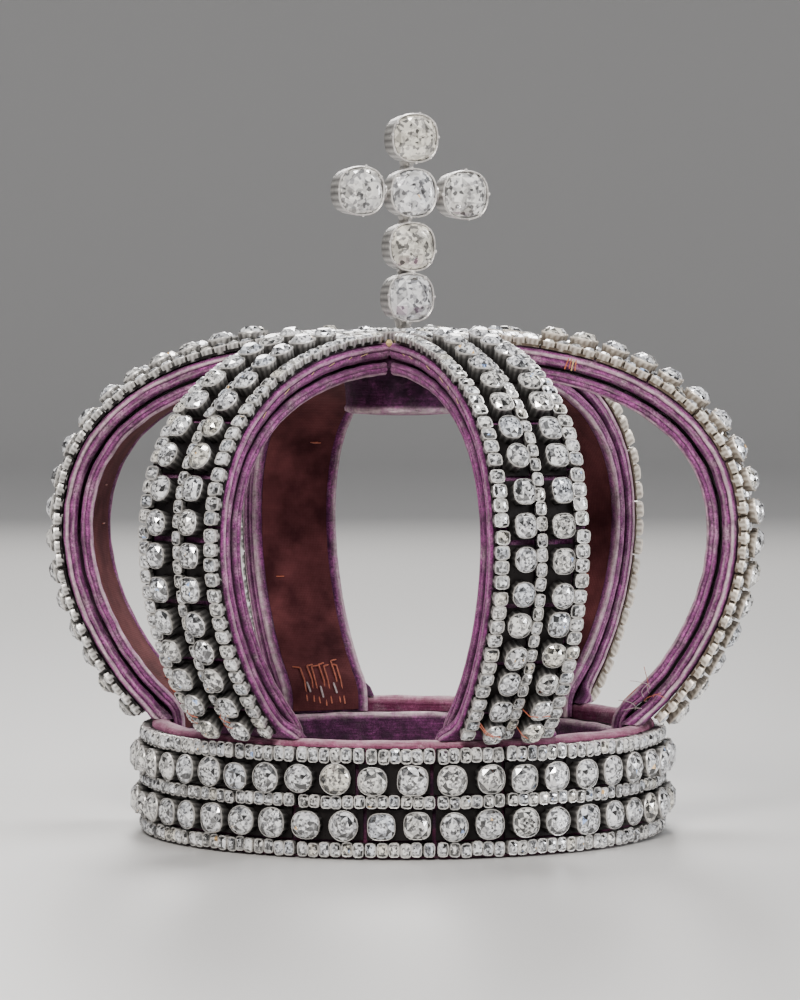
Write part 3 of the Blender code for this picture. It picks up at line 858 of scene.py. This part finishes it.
CROSS_STONE = brilliant(square=0.05, table=0.46)
SMALL_STONE = small_brilliant(0.10)
LARGE_WALL = [
    (0.86, 0.05, 0.0, 0.0),
    (0.88, 0.20, 0.09, 0.05),
    (0.93, 0.48, 0.09, 0.2),
    (0.985, 0.66, 0.07, 0.75),
    (1.0, 0.72, 0.0, 0.85),
    (0.975, 0.78, 0.0, 0.8),
    (0.93, 0.775, 0.0, 0.4),
    (0.91, 0.66, 0.0, 0.0),
]
LARGE_CUTS = [(collet(12, LARGE_WALL, square), brilliant(square)) for square in (0.0, 0.025, 0.055)]
SMALL_COLLET = collet(
    8,
    [
        (1.0, 0.08, 0.0, 0.1),
        (1.02, 0.25, 0.05, 0.6),
        (1.06, 0.62, 0.05, 0.95),
        (1.10, 0.73, 0.0, 1.0),
        (1.08, 0.80, 0.0, 1.0),
        (0.99, 0.79, 0.0, 0.7),
    ],
    square=0.09,
)
CROSS_COLLET = collet(
    22,
    [
        (0.50, -0.91, 0.0, 0.1),
        (0.55, -0.96, 0.0, 0.7),
        (0.60, -0.99, 0.0, 1.0),
        (0.66, -0.97, 0.0, 0.5),
        (0.70, -0.96, 0.0, 0.2),
        (0.80, -0.99, 0.0, 0.6),
        (0.86, -0.96, 0.0, 0.8),
        (0.92, -0.85, 0.012, 0.7),
        (0.97, -0.35, 0.012, 0.8),
        (1.0, -0.08, 0.012, 0.9),
        (1.0, 0.0, 0.0, 1.0),
        (0.97, 0.03, 0.0, 1.0),
        (0.925, 0.0, 0.0, 0.5),
        (0.90, -0.12, 0.0, 0.1),
    ],
    square=0.03,
)

TINTS = [
    (1.0, 1.0, 1.0),
    (0.97, 0.98, 1.0),
    (1.0, 0.98, 0.93),
    (1.0, 0.95, 0.82),
    (0.90, 0.94, 1.0),
]
TINT_SHARES = [0.46, 0.2, 0.18, 0.08, 0.08]
# Painted reflections: the greys that the facets throw back, and how often each one comes
REFLECTED_TONES = [0.03, 0.14, 0.45, 0.85, 1.0]
REFLECTED_TONE_SHARES = [0.12, 0.13, 0.15, 0.20, 0.40]
FIRE_SHARE, WARM_SHARE = 0.004, 0.6  # of the facets get a painted flash of coloured light, and of those are warm
WARM_FIRE, COLD_FIRE = (1.0, 0.62, 0.25), (0.40, 0.58, 1.0)


def facet_colours(rng, count, culet=None, evenness=0.0):
    """A painted reflection's grey for each facet, a tint for the stone, and now and then a painted flash of
    coloured light.
    """
    tone = rng.choice(REFLECTED_TONES, count, p=REFLECTED_TONE_SHARES)
    tone = np.clip(tone * rng.uniform(0.85, 1.1, count), REFLECTED_TONES[0], REFLECTED_TONES[-1])
    # painted shadow of the culet, seen through the table's middle facet
    if culet is not None:
        tone[0] = culet
    tone = tone + (1 - tone) * evenness
    colours = tone[:, None] * np.array(TINTS[rng.choice(len(TINTS), p=TINT_SHARES)])
    fire = rng.random(count) < FIRE_SHARE
    warm = rng.random(count) < WARM_SHARE
    colours[fire & warm] = WARM_FIRE
    colours[fire & ~warm] = COLD_FIRE
    return colours


def stand_axes(side, along, up, rng, tilt, turn):
    """Axes for a piece that stands on a surface, turned and tilted a little at random."""
    angle = rng.normal(0, turn)
    up = up + side * rng.normal(0, tilt) + along * rng.normal(0, tilt)
    up = up / np.linalg.norm(up)
    x = side * cos(angle) + along * sin(angle)
    x = x - up * (x @ up)
    x /= np.linalg.norm(x)
    return x, np.cross(up, x), up


LARGE_GIRDLE, SMALL_GIRDLE = (0.73, 0.94), (0.75, 0.98)  # height and width, as shares of the collet's


def set_stone(metal, stones, kind, place, axes, size, girdle, colours):
    """One collet and its stone; kind has their two templates."""
    cup, stone = kind
    rise, span = girdle
    axes = np.array([axis * half * MM for axis, half in zip(axes, size)])
    metal.stamp(cup, place, axes)
    stones.stamp(stone, place + axes[2] * rise, axes * [[span], [span], [1 - rise]], colours)


def set_large(metal, stones, place, axes, halves, rng):
    """One of the large stones, in its collet."""
    axes = stand_axes(*axes, rng, 0.04, 0.05)
    size = [half * rng.uniform(0.95, 1.03) for half in halves] + [LARGE_STAND * rng.uniform(0.94, 1.0)]
    kind = LARGE_CUTS[rng.integers(len(LARGE_CUTS))]
    colours = facet_colours(rng, len(kind[1][1]), rng.uniform(0.05, 0.6))
    set_stone(metal, stones, kind, place, axes, size, LARGE_GIRDLE, colours)


def set_small(metal, stones, place, axes, halves, stand, rng):
    """One of the small stones, in its collet."""
    axes = stand_axes(*axes, rng, 0.04, 0.05)
    size = [half * rng.uniform(0.97, 1.02) for half in halves] + [stand * rng.uniform(0.92, 1.0)]
    colours = facet_colours(rng, len(SMALL_STONE[1]))
    set_stone(metal, stones, (SMALL_COLLET, SMALL_STONE), place, axes, size, SMALL_GIRDLE, colours)


def strip(shape, middle, side, up):
    """A dark silver strip along a row of places, as wide as two sides."""
    low, high = up * STRIP_LOW, up * STRIP_HIGH
    corners = [middle - side + low, middle + side + low, middle + side + high, middle - side + high]
    corners = np.stack(corners, 1).reshape(-1, 3)
    rows = len(middle)
    faces = grid_faces(rows, 4) + [[0, 3, 2, 1], [4 * (rows - 1) + k for k in range(4)]]
    shape.add(corners, outward(faces, corners), clean=0.0)


def arch_strip(shape, index, start, stop, offset, half_width):
    """A strip along an arch, between two lengths."""
    s = np.linspace(start, stop, max(3, int((stop - start) / 1.5) + 2))
    flat, normals = ARCH.at(s)
    middle = on_arch(index, flat, np.full(len(s), offset))
    up = on_arch(index, normals, np.zeros(len(s)))
    strip(shape, middle, arch_axes(index)[1] * half_width * MM, up)


def arch_place(index, s, offset):
    """World place at a length along an arch, and its axes: across, along and up."""
    flat, normal = ARCH.at(np.array([s]))
    out, right = arch_axes(index)
    up = out * normal[0, 0] + np.array([0, 0, normal[0, 1]])
    up /= np.linalg.norm(up)
    return on_arch(index, flat, np.array([offset]))[0], (right, np.cross(up, right), up)


def silver_and_stones(metal, stones, name, material="silver"):
    """Makes a row's two pieces, which stand for its CAD node."""
    metal.piece(f"{name}_silver", material, "silver", 35, name)
    stones.piece(f"{name}_stones", "stone", "stone")


def small_run(metal, stones, index, offset, half_width, per_bar, stand, start, stop, rng):
    """Short strips of small stones, end to end between two lengths of an arch."""
    bars = max(1, round((stop - start) / BAR_LENGTH))
    step = (stop - start) / bars
    pitch = (step - BAR_GAP) / per_bar
    for bar in range(bars):
        begin = start + bar * step + BAR_GAP / 2
        shift = offset + rng.normal(0, 0.07)
        arch_strip(metal, index, begin, begin + per_bar * pitch, shift, half_width * 0.9)
        for k in range(per_bar):
            place, axes = arch_place(index, begin + (k + 0.5) * pitch, shift)
            set_small(metal, stones, place, axes, (half_width, pitch * 0.5), stand, rng)


def arch_small_row(index, suffix, offset, half_width, per_bar, stand, start_radius):
    """One of an arch's rows of small stones, from a distance from the axis down to the foot."""
    name = f"arch_{ARCH_NAMES[index]}_bars_{suffix}"
    metal, stones = Shape(), Shape()
    start, stop = ARCH.where(0, start_radius), ARCH.where(1, ROW_FOOT, WIDEST)
    small_run(metal, stones, index, offset, half_width, per_bar, stand, start, stop, rng_for(name))
    silver_and_stones(metal, stones, name, ARCH_SILVER.get(ARCH_NAMES[index], "silver"))


def arch_large_row(index, suffix, offset):
    """Large collets down the arch, with a run of small ones near the hub."""
    name = f"arch_{ARCH_NAMES[index]}_collets_{suffix}"
    rng = rng_for(name)
    metal, stones = Shape(), Shape()
    begin, end = FIRST_COLLET_LENGTH, LAST_COLLET_LENGTH
    pitch = (end - begin) / (COLLETS_PER_ROW - 1)
    for k in range(COLLETS_PER_ROW):
        s = begin + k * pitch + rng.normal(0, 0.12) * (0 < k < COLLETS_PER_ROW - 1)
        place, axes = arch_place(index, s, offset + rng.normal(0, 0.08))
        set_large(metal, stones, place, axes, ARCH_COLLET, rng)
        if k % COLLETS_PER_STRIP == 0:
            low = begin + (k - STRIP_OVERHANG) * pitch
            high = min(begin + (k + COLLETS_PER_STRIP - 1 + STRIP_OVERHANG) * pitch, end + 1.6)
            arch_strip(metal, index, low, high, offset, ARCH_COLLET[0] + 0.25)
    run = ARCH.where(0, LARGE_START), begin - HUB_RUN_CLEARANCE
    small_run(metal, stones, index, offset, HUB_RUN_HALF_WIDTH, PER_BAR, SMALL_STAND, *run, rng)
    silver_and_stones(metal, stones, name, ARCH_SILVER.get(ARCH_NAMES[index], "silver"))


def circlet_place(angle, height):
    """World place on the circlet's velvet, and its axes: across, along and up from it."""
    out, right = round_axes(angle)
    place = (out * BAND_RADIUS + np.array([0, 0, height])) * MM
    return place, (right, np.array([0, 0, 1.0]), out)


def circlet_strip(shape, start, stop, height, half_height):
    """A strip round the circlet, between two angles."""
    angles = np.linspace(start, stop, max(3, int((stop - start) / radians(2)) + 2))
    out = np.stack([np.sin(angles), -np.cos(angles), np.zeros(len(angles))], 1) * MM
    middle = out * BAND_RADIUS + np.array([0, 0, height * MM])
    strip(shape, middle, np.array([0, 0, half_height * MM]), out)


def circlet_large_row(level):
    """A row of large stones of uneven sizes, in strips of two."""
    name = f"circlet_collets_{level}"
    rng = rng_for(name)
    metal, stones = Shape(), Shape()
    sizes = rng.uniform(0.93, 1.04, LARGE_COUNT)
    ends = np.concatenate([[0], np.cumsum(sizes + rng.uniform(0.0, 0.06, LARGE_COUNT))])
    ends *= tau / ends[-1]
    gap = LARGE_STRIP_GAP / BAND_RADIUS
    for k, size in enumerate(sizes):
        height = LARGE_LEVELS[level] + rng.normal(0, 0.08)
        place, axes = circlet_place((ends[k] + ends[k + 1]) / 2, height)
        set_large(metal, stones, place, axes, [half * size for half in CIRCLET_COLLET], rng)
        if k % COLLETS_PER_STRIP == 0:
            reach = ends[k] + gap, ends[k + COLLETS_PER_STRIP] - gap
            circlet_strip(metal, *reach, LARGE_LEVELS[level], LARGE_STRIP_HALF_WIDTH)
    silver_and_stones(metal, stones, name)


def circlet_small_row(level):
    """A row of small stones, in strips of six."""
    name = f"circlet_bars_{level}"
    rng = rng_for(name)
    metal, stones = Shape(), Shape()
    middle, tall = SMALL_LEVELS[level]
    step = tau / BARS_ROUND
    gap = BAR_GAP / BAND_RADIUS
    pitch = (step - gap) / STONES_PER_BAR
    halves = (pitch * BAND_RADIUS * 0.51, tall / 2)
    for bar in range(BARS_ROUND):
        begin = (bar + rng.uniform(-0.02, 0.02)) * step + gap / 2
        height = middle + rng.normal(0, 0.06)
        circlet_strip(metal, begin, begin + pitch * STONES_PER_BAR, height, tall * 0.46)
        for k in range(STONES_PER_BAR):
            place, axes = circlet_place(begin + (k + 0.5) * pitch, height)
            set_small(metal, stones, place, axes, halves, SMALL_STAND, rng)
    silver_and_stones(metal, stones, name)


# ---------------------------------------------------------------- hub


def hub_plate():
    """The velvet hexagon between the arches, with softened corners and a hole for the cross's pin."""
    low, high = box_mm("hub_plate")
    corner, top, bottom = (high[0] - low[0]) / 2, high[2], low[2]
    steps = 96
    angles = np.arange(steps) * tau / steps
    half = pi / len(ARCH_NAMES)
    edge = np.minimum(corner * cos(half) / np.cos((angles + half) % (2 * half) - half), corner * 0.97)
    profile = [  # share of the edge's distance, height, wear
        (0.09, top, 0.0),
        (0.5, top, 0.0),
        (0.93, top - 0.05, 0.1),
        (0.985, top - 0.35, 0.4),
        (0.99, bottom + 0.3, 0.2),
        (0.95, bottom, 0.0),
        (0.09, bottom, 0.0),
    ]
    outline = np.stack([np.sin(angles) * edge, -np.cos(angles) * edge, np.zeros(steps)], 1)
    vertices = np.concatenate([outline * share + [0, 0, z] for share, z, _ in profile])
    faces = outward(grid_faces(len(profile), steps, wrap_rows=True), vertices)
    wear = np.repeat([row[2] for row in profile], steps)
    plate = Shape()
    plate.add(vertices * MM, faces, wear=wear, grain=vertices * 0.8, shade=0.0)
    plate.piece("hub_velvet", "velvet", "velvet", 60, "hub_plate")


def hub_pad():
    """The round pad under the plate, darkened by painted shade, with a flange that covers the arches' ends.
    """
    low, high = box_mm("hub_pad")
    r, bottom, top = high[0], low[2], high[2]
    profile = [  # radius, height, wear, painted shade
        (PIN_HOLE, bottom - 0.1, 0.0, 0.3),
        (r * 0.5, bottom - 0.1, 0.1, 0.3),
        (r * 0.88, bottom + 0.2, 0.6, 0.0),
        (r * 0.97, bottom + 0.7, 1.0, 0.0),
        (r * 0.98, bottom + 1.3, 0.7, 0.0),
        (r * 0.95, bottom + 2.0, 0.0, 0.85),
        (r * 0.96, bottom + 4.5, 0.0, 1.0),
        (r * 1.0, top - 2.0, 0.0, 1.0),
        (r * 1.1, top - 0.8, 0.0, 1.0),
        (HUB_EDGE - 0.6, top - 0.4, 0.1, 0.9),
        (HUB_EDGE - 0.3, top + 0.6, 0.1, 0.6),
        (HUB_EDGE - 0.8, top + 1.4, 0.0, 0.3),
        (PIN_HOLE, top + 1.4, 0.0, 0.3),
    ]
    turned_velvet("hub_pad_velvet", profile, 90, 0.0, "velvet", "velvet", "hub_pad")


def rosette():
    """Two rings of small stones round the foot of the cross, on a flat silver ring."""
    rng = rng_for("rosette")
    metal, stones = Shape(), Shape()
    up = np.array([0, 0, 1.0])
    for radius, count in ROSETTE_RINGS:
        for k in range(count):
            out, right = round_axes(tau * (k + 0.5) / count)
            place = (out * radius + up * PLATE_TOP) * MM
            halves = (pi * radius / count, 0.98)
            set_small(metal, stones, place, (right, -out, up), halves, ROSETTE_STAND, rng)
    low, high = PLATE_TOP + 0.3, PLATE_TOP + 0.8
    vertices, faces = turned(np.array([(3.85, low), (7.5, low), (7.5, high), (3.85, high)]), 72)
    metal.add(vertices * MM, faces, clean=0.1)
    silver_and_stones(metal, stones, "hub_rosette")


# ---------------------------------------------------------------- cross

LEAN = np.array(Matrix.Rotation(CROSS_LEAN, 3, "Y"))
SIDE, ALONG, FRONT = np.array([1.0, 0, 0]), np.array([0, 0, 1.0]), np.array([0, -1.0, 0])
WAIST = [(0, 1.6), (0.5, 1.3), (1, 1.6)]  # a link's radius, by share of its length
SHANK = [(0, 3.3), (0.12, 3.4), (0.2, 3.1), (0.3, 1.9), (0.6, 1.4), (1, 1.9)]  # the same for the cross's foot
PIN = [(0, 1.1), (1, 1.1)]


def leaned(points):
    """Turns places in mm over with the cross."""
    base = np.array([0, 0, CROSS_BASE])
    return (np.asarray(points, float) - base) @ LEAN.T + base


def rod(shape, start, end, radii, sides=14, clean=0.8):
    """A turned rod between two places, through a list of (share of the length, radius)."""
    start, end = np.asarray(start, float), np.asarray(end, float)
    way = (end - start) / np.linalg.norm(end - start)
    x = np.cross(way, [0.3, 1.0, 0.2])
    x /= np.linalg.norm(x)
    angles = np.arange(sides)[:, None] * tau / sides
    circle = np.cos(angles) * x + np.sin(angles) * np.cross(way, x)
    vertices = np.concatenate([start + (end - start) * share + circle * radius for share, radius in radii])
    faces = grid_faces(len(radii), sides)
    faces += [list(range(sides))[::-1], [(len(radii) - 1) * sides + j for j in range(sides)]]
    shape.add(vertices * MM, outward(faces, vertices), clean=clean)


def bead(shape, place, radius):
    """A small six-sided bead."""
    rings = [ring(6, 0.5, -0.87), ring(6, 1.0, 0.0), ring(6, 0.5, 0.87)]
    vertices = np.concatenate(rings) * radius + place
    faces = grid_faces(3, 6) + [list(range(6))[::-1], list(range(12, 18))]
    shape.add(vertices * MM, outward(faces, vertices), clean=1.0)


def cross_stone(metal, name, face, rng):
    """One of the cross's collets, with the grains round its rim, and its stone."""
    radius = CROSS_COLLET_RADIUS
    cup = np.array([SIDE * radius, ALONG * radius, FRONT * CROSS_DEPTH]) @ LEAN.T
    metal.stamp(CROSS_COLLET, leaned(face) * MM, cup * MM)
    for k in range(CROSS_GRAINS):
        angle = tau * (k + rng.uniform(-0.25, 0.25)) / CROSS_GRAINS
        grain = np.array([cos(angle), 0, sin(angle)]) * radius * 0.965
        bead(metal, leaned(face + grain + FRONT * 0.05), rng.uniform(0.28, 0.42))
    x = SIDE * cos(rng.normal(0, 0.12)) + ALONG * sin(rng.normal(0, 0.12))
    x /= np.linalg.norm(x)
    cut = np.array([x * radius * 0.92, np.cross(FRONT, x) * radius * 0.92, FRONT * 1.9]) @ LEAN.T
    colours = facet_colours(rng, len(CROSS_STONE[1]), 0.3, 0.5)
    stone = Shape()
    stone.stamp(CROSS_STONE, leaned(face - FRONT * 0.2) * MM, cut * MM, colours)
    stone.piece(f"cross_{name}_diamond", "cross_stone", "stone", stands_for=f"cross_stone_{name}")


def cross():
    """Six large stones joined by short links, on a foot and a pin."""
    rng = rng_for("cross")
    lowest, lower, crossing, top = CROSS_LEVELS
    places = {
        "lowest": (0, lowest),
        "lower": (0, lower),
        "centre": (0, crossing),
        "top": (0, top),
        "left": (-CROSS_ARM, crossing),
        "right": (CROSS_ARM, crossing),
    }
    metal = Shape()
    for name, (x, z) in places.items():
        cross_stone(metal, name, np.array([x, CROSS_FRONT, z]), rng)
    middle = CROSS_FRONT + CROSS_DEPTH / 2 + 1.0
    reach = CROSS_COLLET_RADIUS - 0.5
    for low, high in zip(CROSS_LEVELS, CROSS_LEVELS[1:]):
        rod(metal, leaned([0, middle, low + reach]), leaned([0, middle, high - reach]), WAIST)
    for sign in (-1, 1):
        start, end = [sign * reach, middle, crossing], [sign * (CROSS_ARM - reach), middle, crossing]
        rod(metal, leaned(start), leaned(end), WAIST)
    rod(metal, [0, 0, CROSS_BASE], leaned([0, 0, lowest - CROSS_COLLET_RADIUS + 0.6]), SHANK, 20)
    rod(metal, [0, 0, PIN_BOTTOM], [0, 0, CROSS_BASE], PIN, 12, 0.3)
    metal.piece("cross_silver", "silver", "silver", 35, "cross_setting")


# ---------------------------------------------------------------- threads


INNER_FACE = CLOTH_STAND - 0.2  # just proud of the lining cloth, towards the axis
SIDE_FACE = 9.7  # just proud of an arch's side, across from its middle line
SEWN_HALF_WIDTH = 5.4  # how far across the lining the stitches reach
FRINGE_LENGTHS = 0.4, 6.5  # how far above the foot the loose threads start


def stitch(shape, points, radius=0.16):
    """A short piece of thread through a few places."""
    points = np.asarray(points, float)
    profile = [(0, radius * 0.8), (0.15, radius), (0.85, radius), (1, radius * 0.8)]
    for start, end in zip(points, points[1:]):
        rod(shape, start, end, profile, 6, 0.0)


def curl(shape, start, rng, steps=9, length=0.5):
    """A loose end of thread that wanders up from its start."""
    way, bend = np.array([0, 0, 1.0]) + rng.normal(0, 0.5, 3), rng.normal(0, 0.4, 3)
    places = [start]
    for _ in range(steps):
        way = way + bend + rng.normal(0, 0.1, 3)
        way /= np.linalg.norm(way)
        places.append(places[-1] + way * length)
    stitch(shape, places, 0.07)


def over(outline, index, s, across, stand):
    """A place in mm over an arch's outline; a negative stand is towards the axis."""
    flat, _ = outline.at(np.array([s]), np.array([stand]))
    return on_arch(index, flat, np.array([across]))[0] / MM


def lining_stitches(red, pale, index, rng):
    """Hooked red stitches across the foot of a lining, and a few small ones higher up."""
    end = LINING.total
    count = 7 if ARCH_NAMES[index] in MUCH_SEWN else 4
    for k in range(count):
        across = SEWN_HALF_WIDTH * (2 * (k + rng.uniform(0.2, 0.8)) / count - 1)
        low = end - rng.uniform(1.2, 2.4)
        high = low - rng.uniform(6.5, 9.0)
        hook = rng.choice([-1, 1]) * rng.uniform(0.8, 2.0)
        bow = rng.normal(0, 0.25)
        places = [
            (low, across, INNER_FACE),
            ((low + high) / 2, across + bow, INNER_FACE - 0.12),
            (high, across + bow * 0.5, INNER_FACE - 0.05),
            (high - 0.3, across + hook, INNER_FACE - 0.1),
        ]
        stitch(red, [over(LINING, index, *place) for place in places])
        if k % 2:
            places = [(low - 1.5, across + 0.7, INNER_FACE), (low - 3.2, across + 1.1, INNER_FACE - 0.1)]
            stitch(pale, [over(LINING, index, *place) for place in places], 0.2)
    for _ in range(3):
        s = rng.uniform(0.3, 0.75) * end
        across = rng.uniform(-4.5, 4.5)
        stitch(red, [over(LINING, index, s, across + side, INNER_FACE) for side in (-0.9, 0.9)], 0.12)


def glints(gold, index, rng):
    """Gold thread that shows here and there along both edges of an arch."""
    for sign in (-1, 1):
        for s in ARCH_START + np.cumsum(rng.uniform(3.0, 10.0, 6)):
            start = over(ARCH, index, s, sign * (SIDE_FACE - 0.04), -1.45)
            end = over(ARCH, index, s + rng.uniform(0.9, 2.6), sign * (SIDE_FACE + 0.02), -1.7)
            stitch(gold, [start, end], 0.06)


def foot_stitches(red, index, rng):
    """Red thread laid over the lowest large collets."""
    for offset in (-LARGE_OFFSET, LARGE_OFFSET):
        for s in LAST_COLLET_LENGTH - rng.uniform(0.4, 5.0, 2):
            skew, reach = rng.uniform(-1.6, 1.6), rng.uniform(-1.2, 1.8)
            places = ((-2.9, 1.6, 0), (-2.2, 3.9, 0.2), (-0.9, 4.45, 0.5), (reach, 4.5, 0.8))
            stitch(red, [over(ARCH, index, s + skew * k, offset + x, lift) for x, lift, k in places], 0.09)


def frayed_foot(red, pale, rng):
    """Loose ends at the foot of one arch."""
    index = ARCH_NAMES.index(FRAYED_ARCH)
    for _ in range(FRAYED_COUNT):
        s = FOOT_LENGTH - rng.uniform(*FRINGE_LENGTHS)
        start = over(ARCH, index, s, 0.1 - SIDE_FACE, rng.uniform(-5.0, -1.0))
        curl(pale if rng.random() < 0.7 else red, start, rng)


def wrapping(red, gold, rng):
    """A few turns of thread over the edge of one arch."""
    index, side = ARCH_NAMES.index(WRAPPED_ARCH), -SIDE_FACE
    for k in range(4):
        s = ARCH.where(0, WRAP_DISTANCE) + k * 0.5
        slant, end = rng.normal(0, 0.3), rng.uniform(-3.3, -2.6)
        places = [(s, side, -0.7), (s + slant * 0.5, side - 0.15, -1.8), (s + slant, side, end)]
        stitch(gold if k == 2 else red, [over(ARCH, index, *place) for place in places], 0.14)


def threads():
    """All the sewing thread, and the gold bead in the front notch of the hub."""
    rng = rng_for("threads")
    red, gold, pale = Shape(), Shape(), Shape()
    for index, name in enumerate(ARCH_NAMES):
        lining_stitches(red, pale, index, rng)
        if name in GLINTING:
            glints(gold, index, rng)
            foot_stitches(red, index, rng)
    frayed_foot(red, pale, rng)
    wrapping(red, gold, rng)
    half = pi / len(ARCH_NAMES)
    notch = round_axes(-half)[0] * (HUB_EDGE / cos(half) - 0.2)
    bead(gold, notch + np.array([0, 0, PLATE_TOP + 0.1]), 0.75)
    for shape, name in ((red, "red"), (gold, "gold"), (pale, "pale")):
        shape.piece(f"{name}_threads", f"{name}_thread", "lining", 40)


# ---------------------------------------------------------------- build


def arch(index):
    """One half-arch: its velvets and its five rows."""
    outer_velvet(index)
    lining_velvet(index)
    per_bar, stand = COARSE_EDGES.get(ARCH_NAMES[index], (PER_BAR, EDGE_STAND))
    for suffix, side in (("left", -1), ("right", 1)):
        arch_small_row(index, suffix, side * EDGE_OFFSET, EDGE_HALF_WIDTH, per_bar, stand, EDGE_START)
    arch_small_row(index, "middle", 0.0, MIDDLE_HALF_WIDTH, PER_BAR, MIDDLE_STAND, MIDDLE_START)
    for suffix, side in (("left", -1), ("right", 1)):
        arch_large_row(index, suffix, side * LARGE_OFFSET)


stage_floor()
lights()
camera()
for arch_index in range(len(ARCH_NAMES)):
    arch(arch_index)
circlet_velvet()
circlet_inner_velvet()
for row_level in LARGE_LEVELS:
    circlet_large_row(row_level)
for row_level in SMALL_LEVELS:
    circlet_small_row(row_level)
hub_plate()
hub_pad()
rosette()
cross()
threads()

for material_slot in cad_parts["metal_skeleton"].material_slots:
    material_slot.material = MATERIALS["frame_metal"]
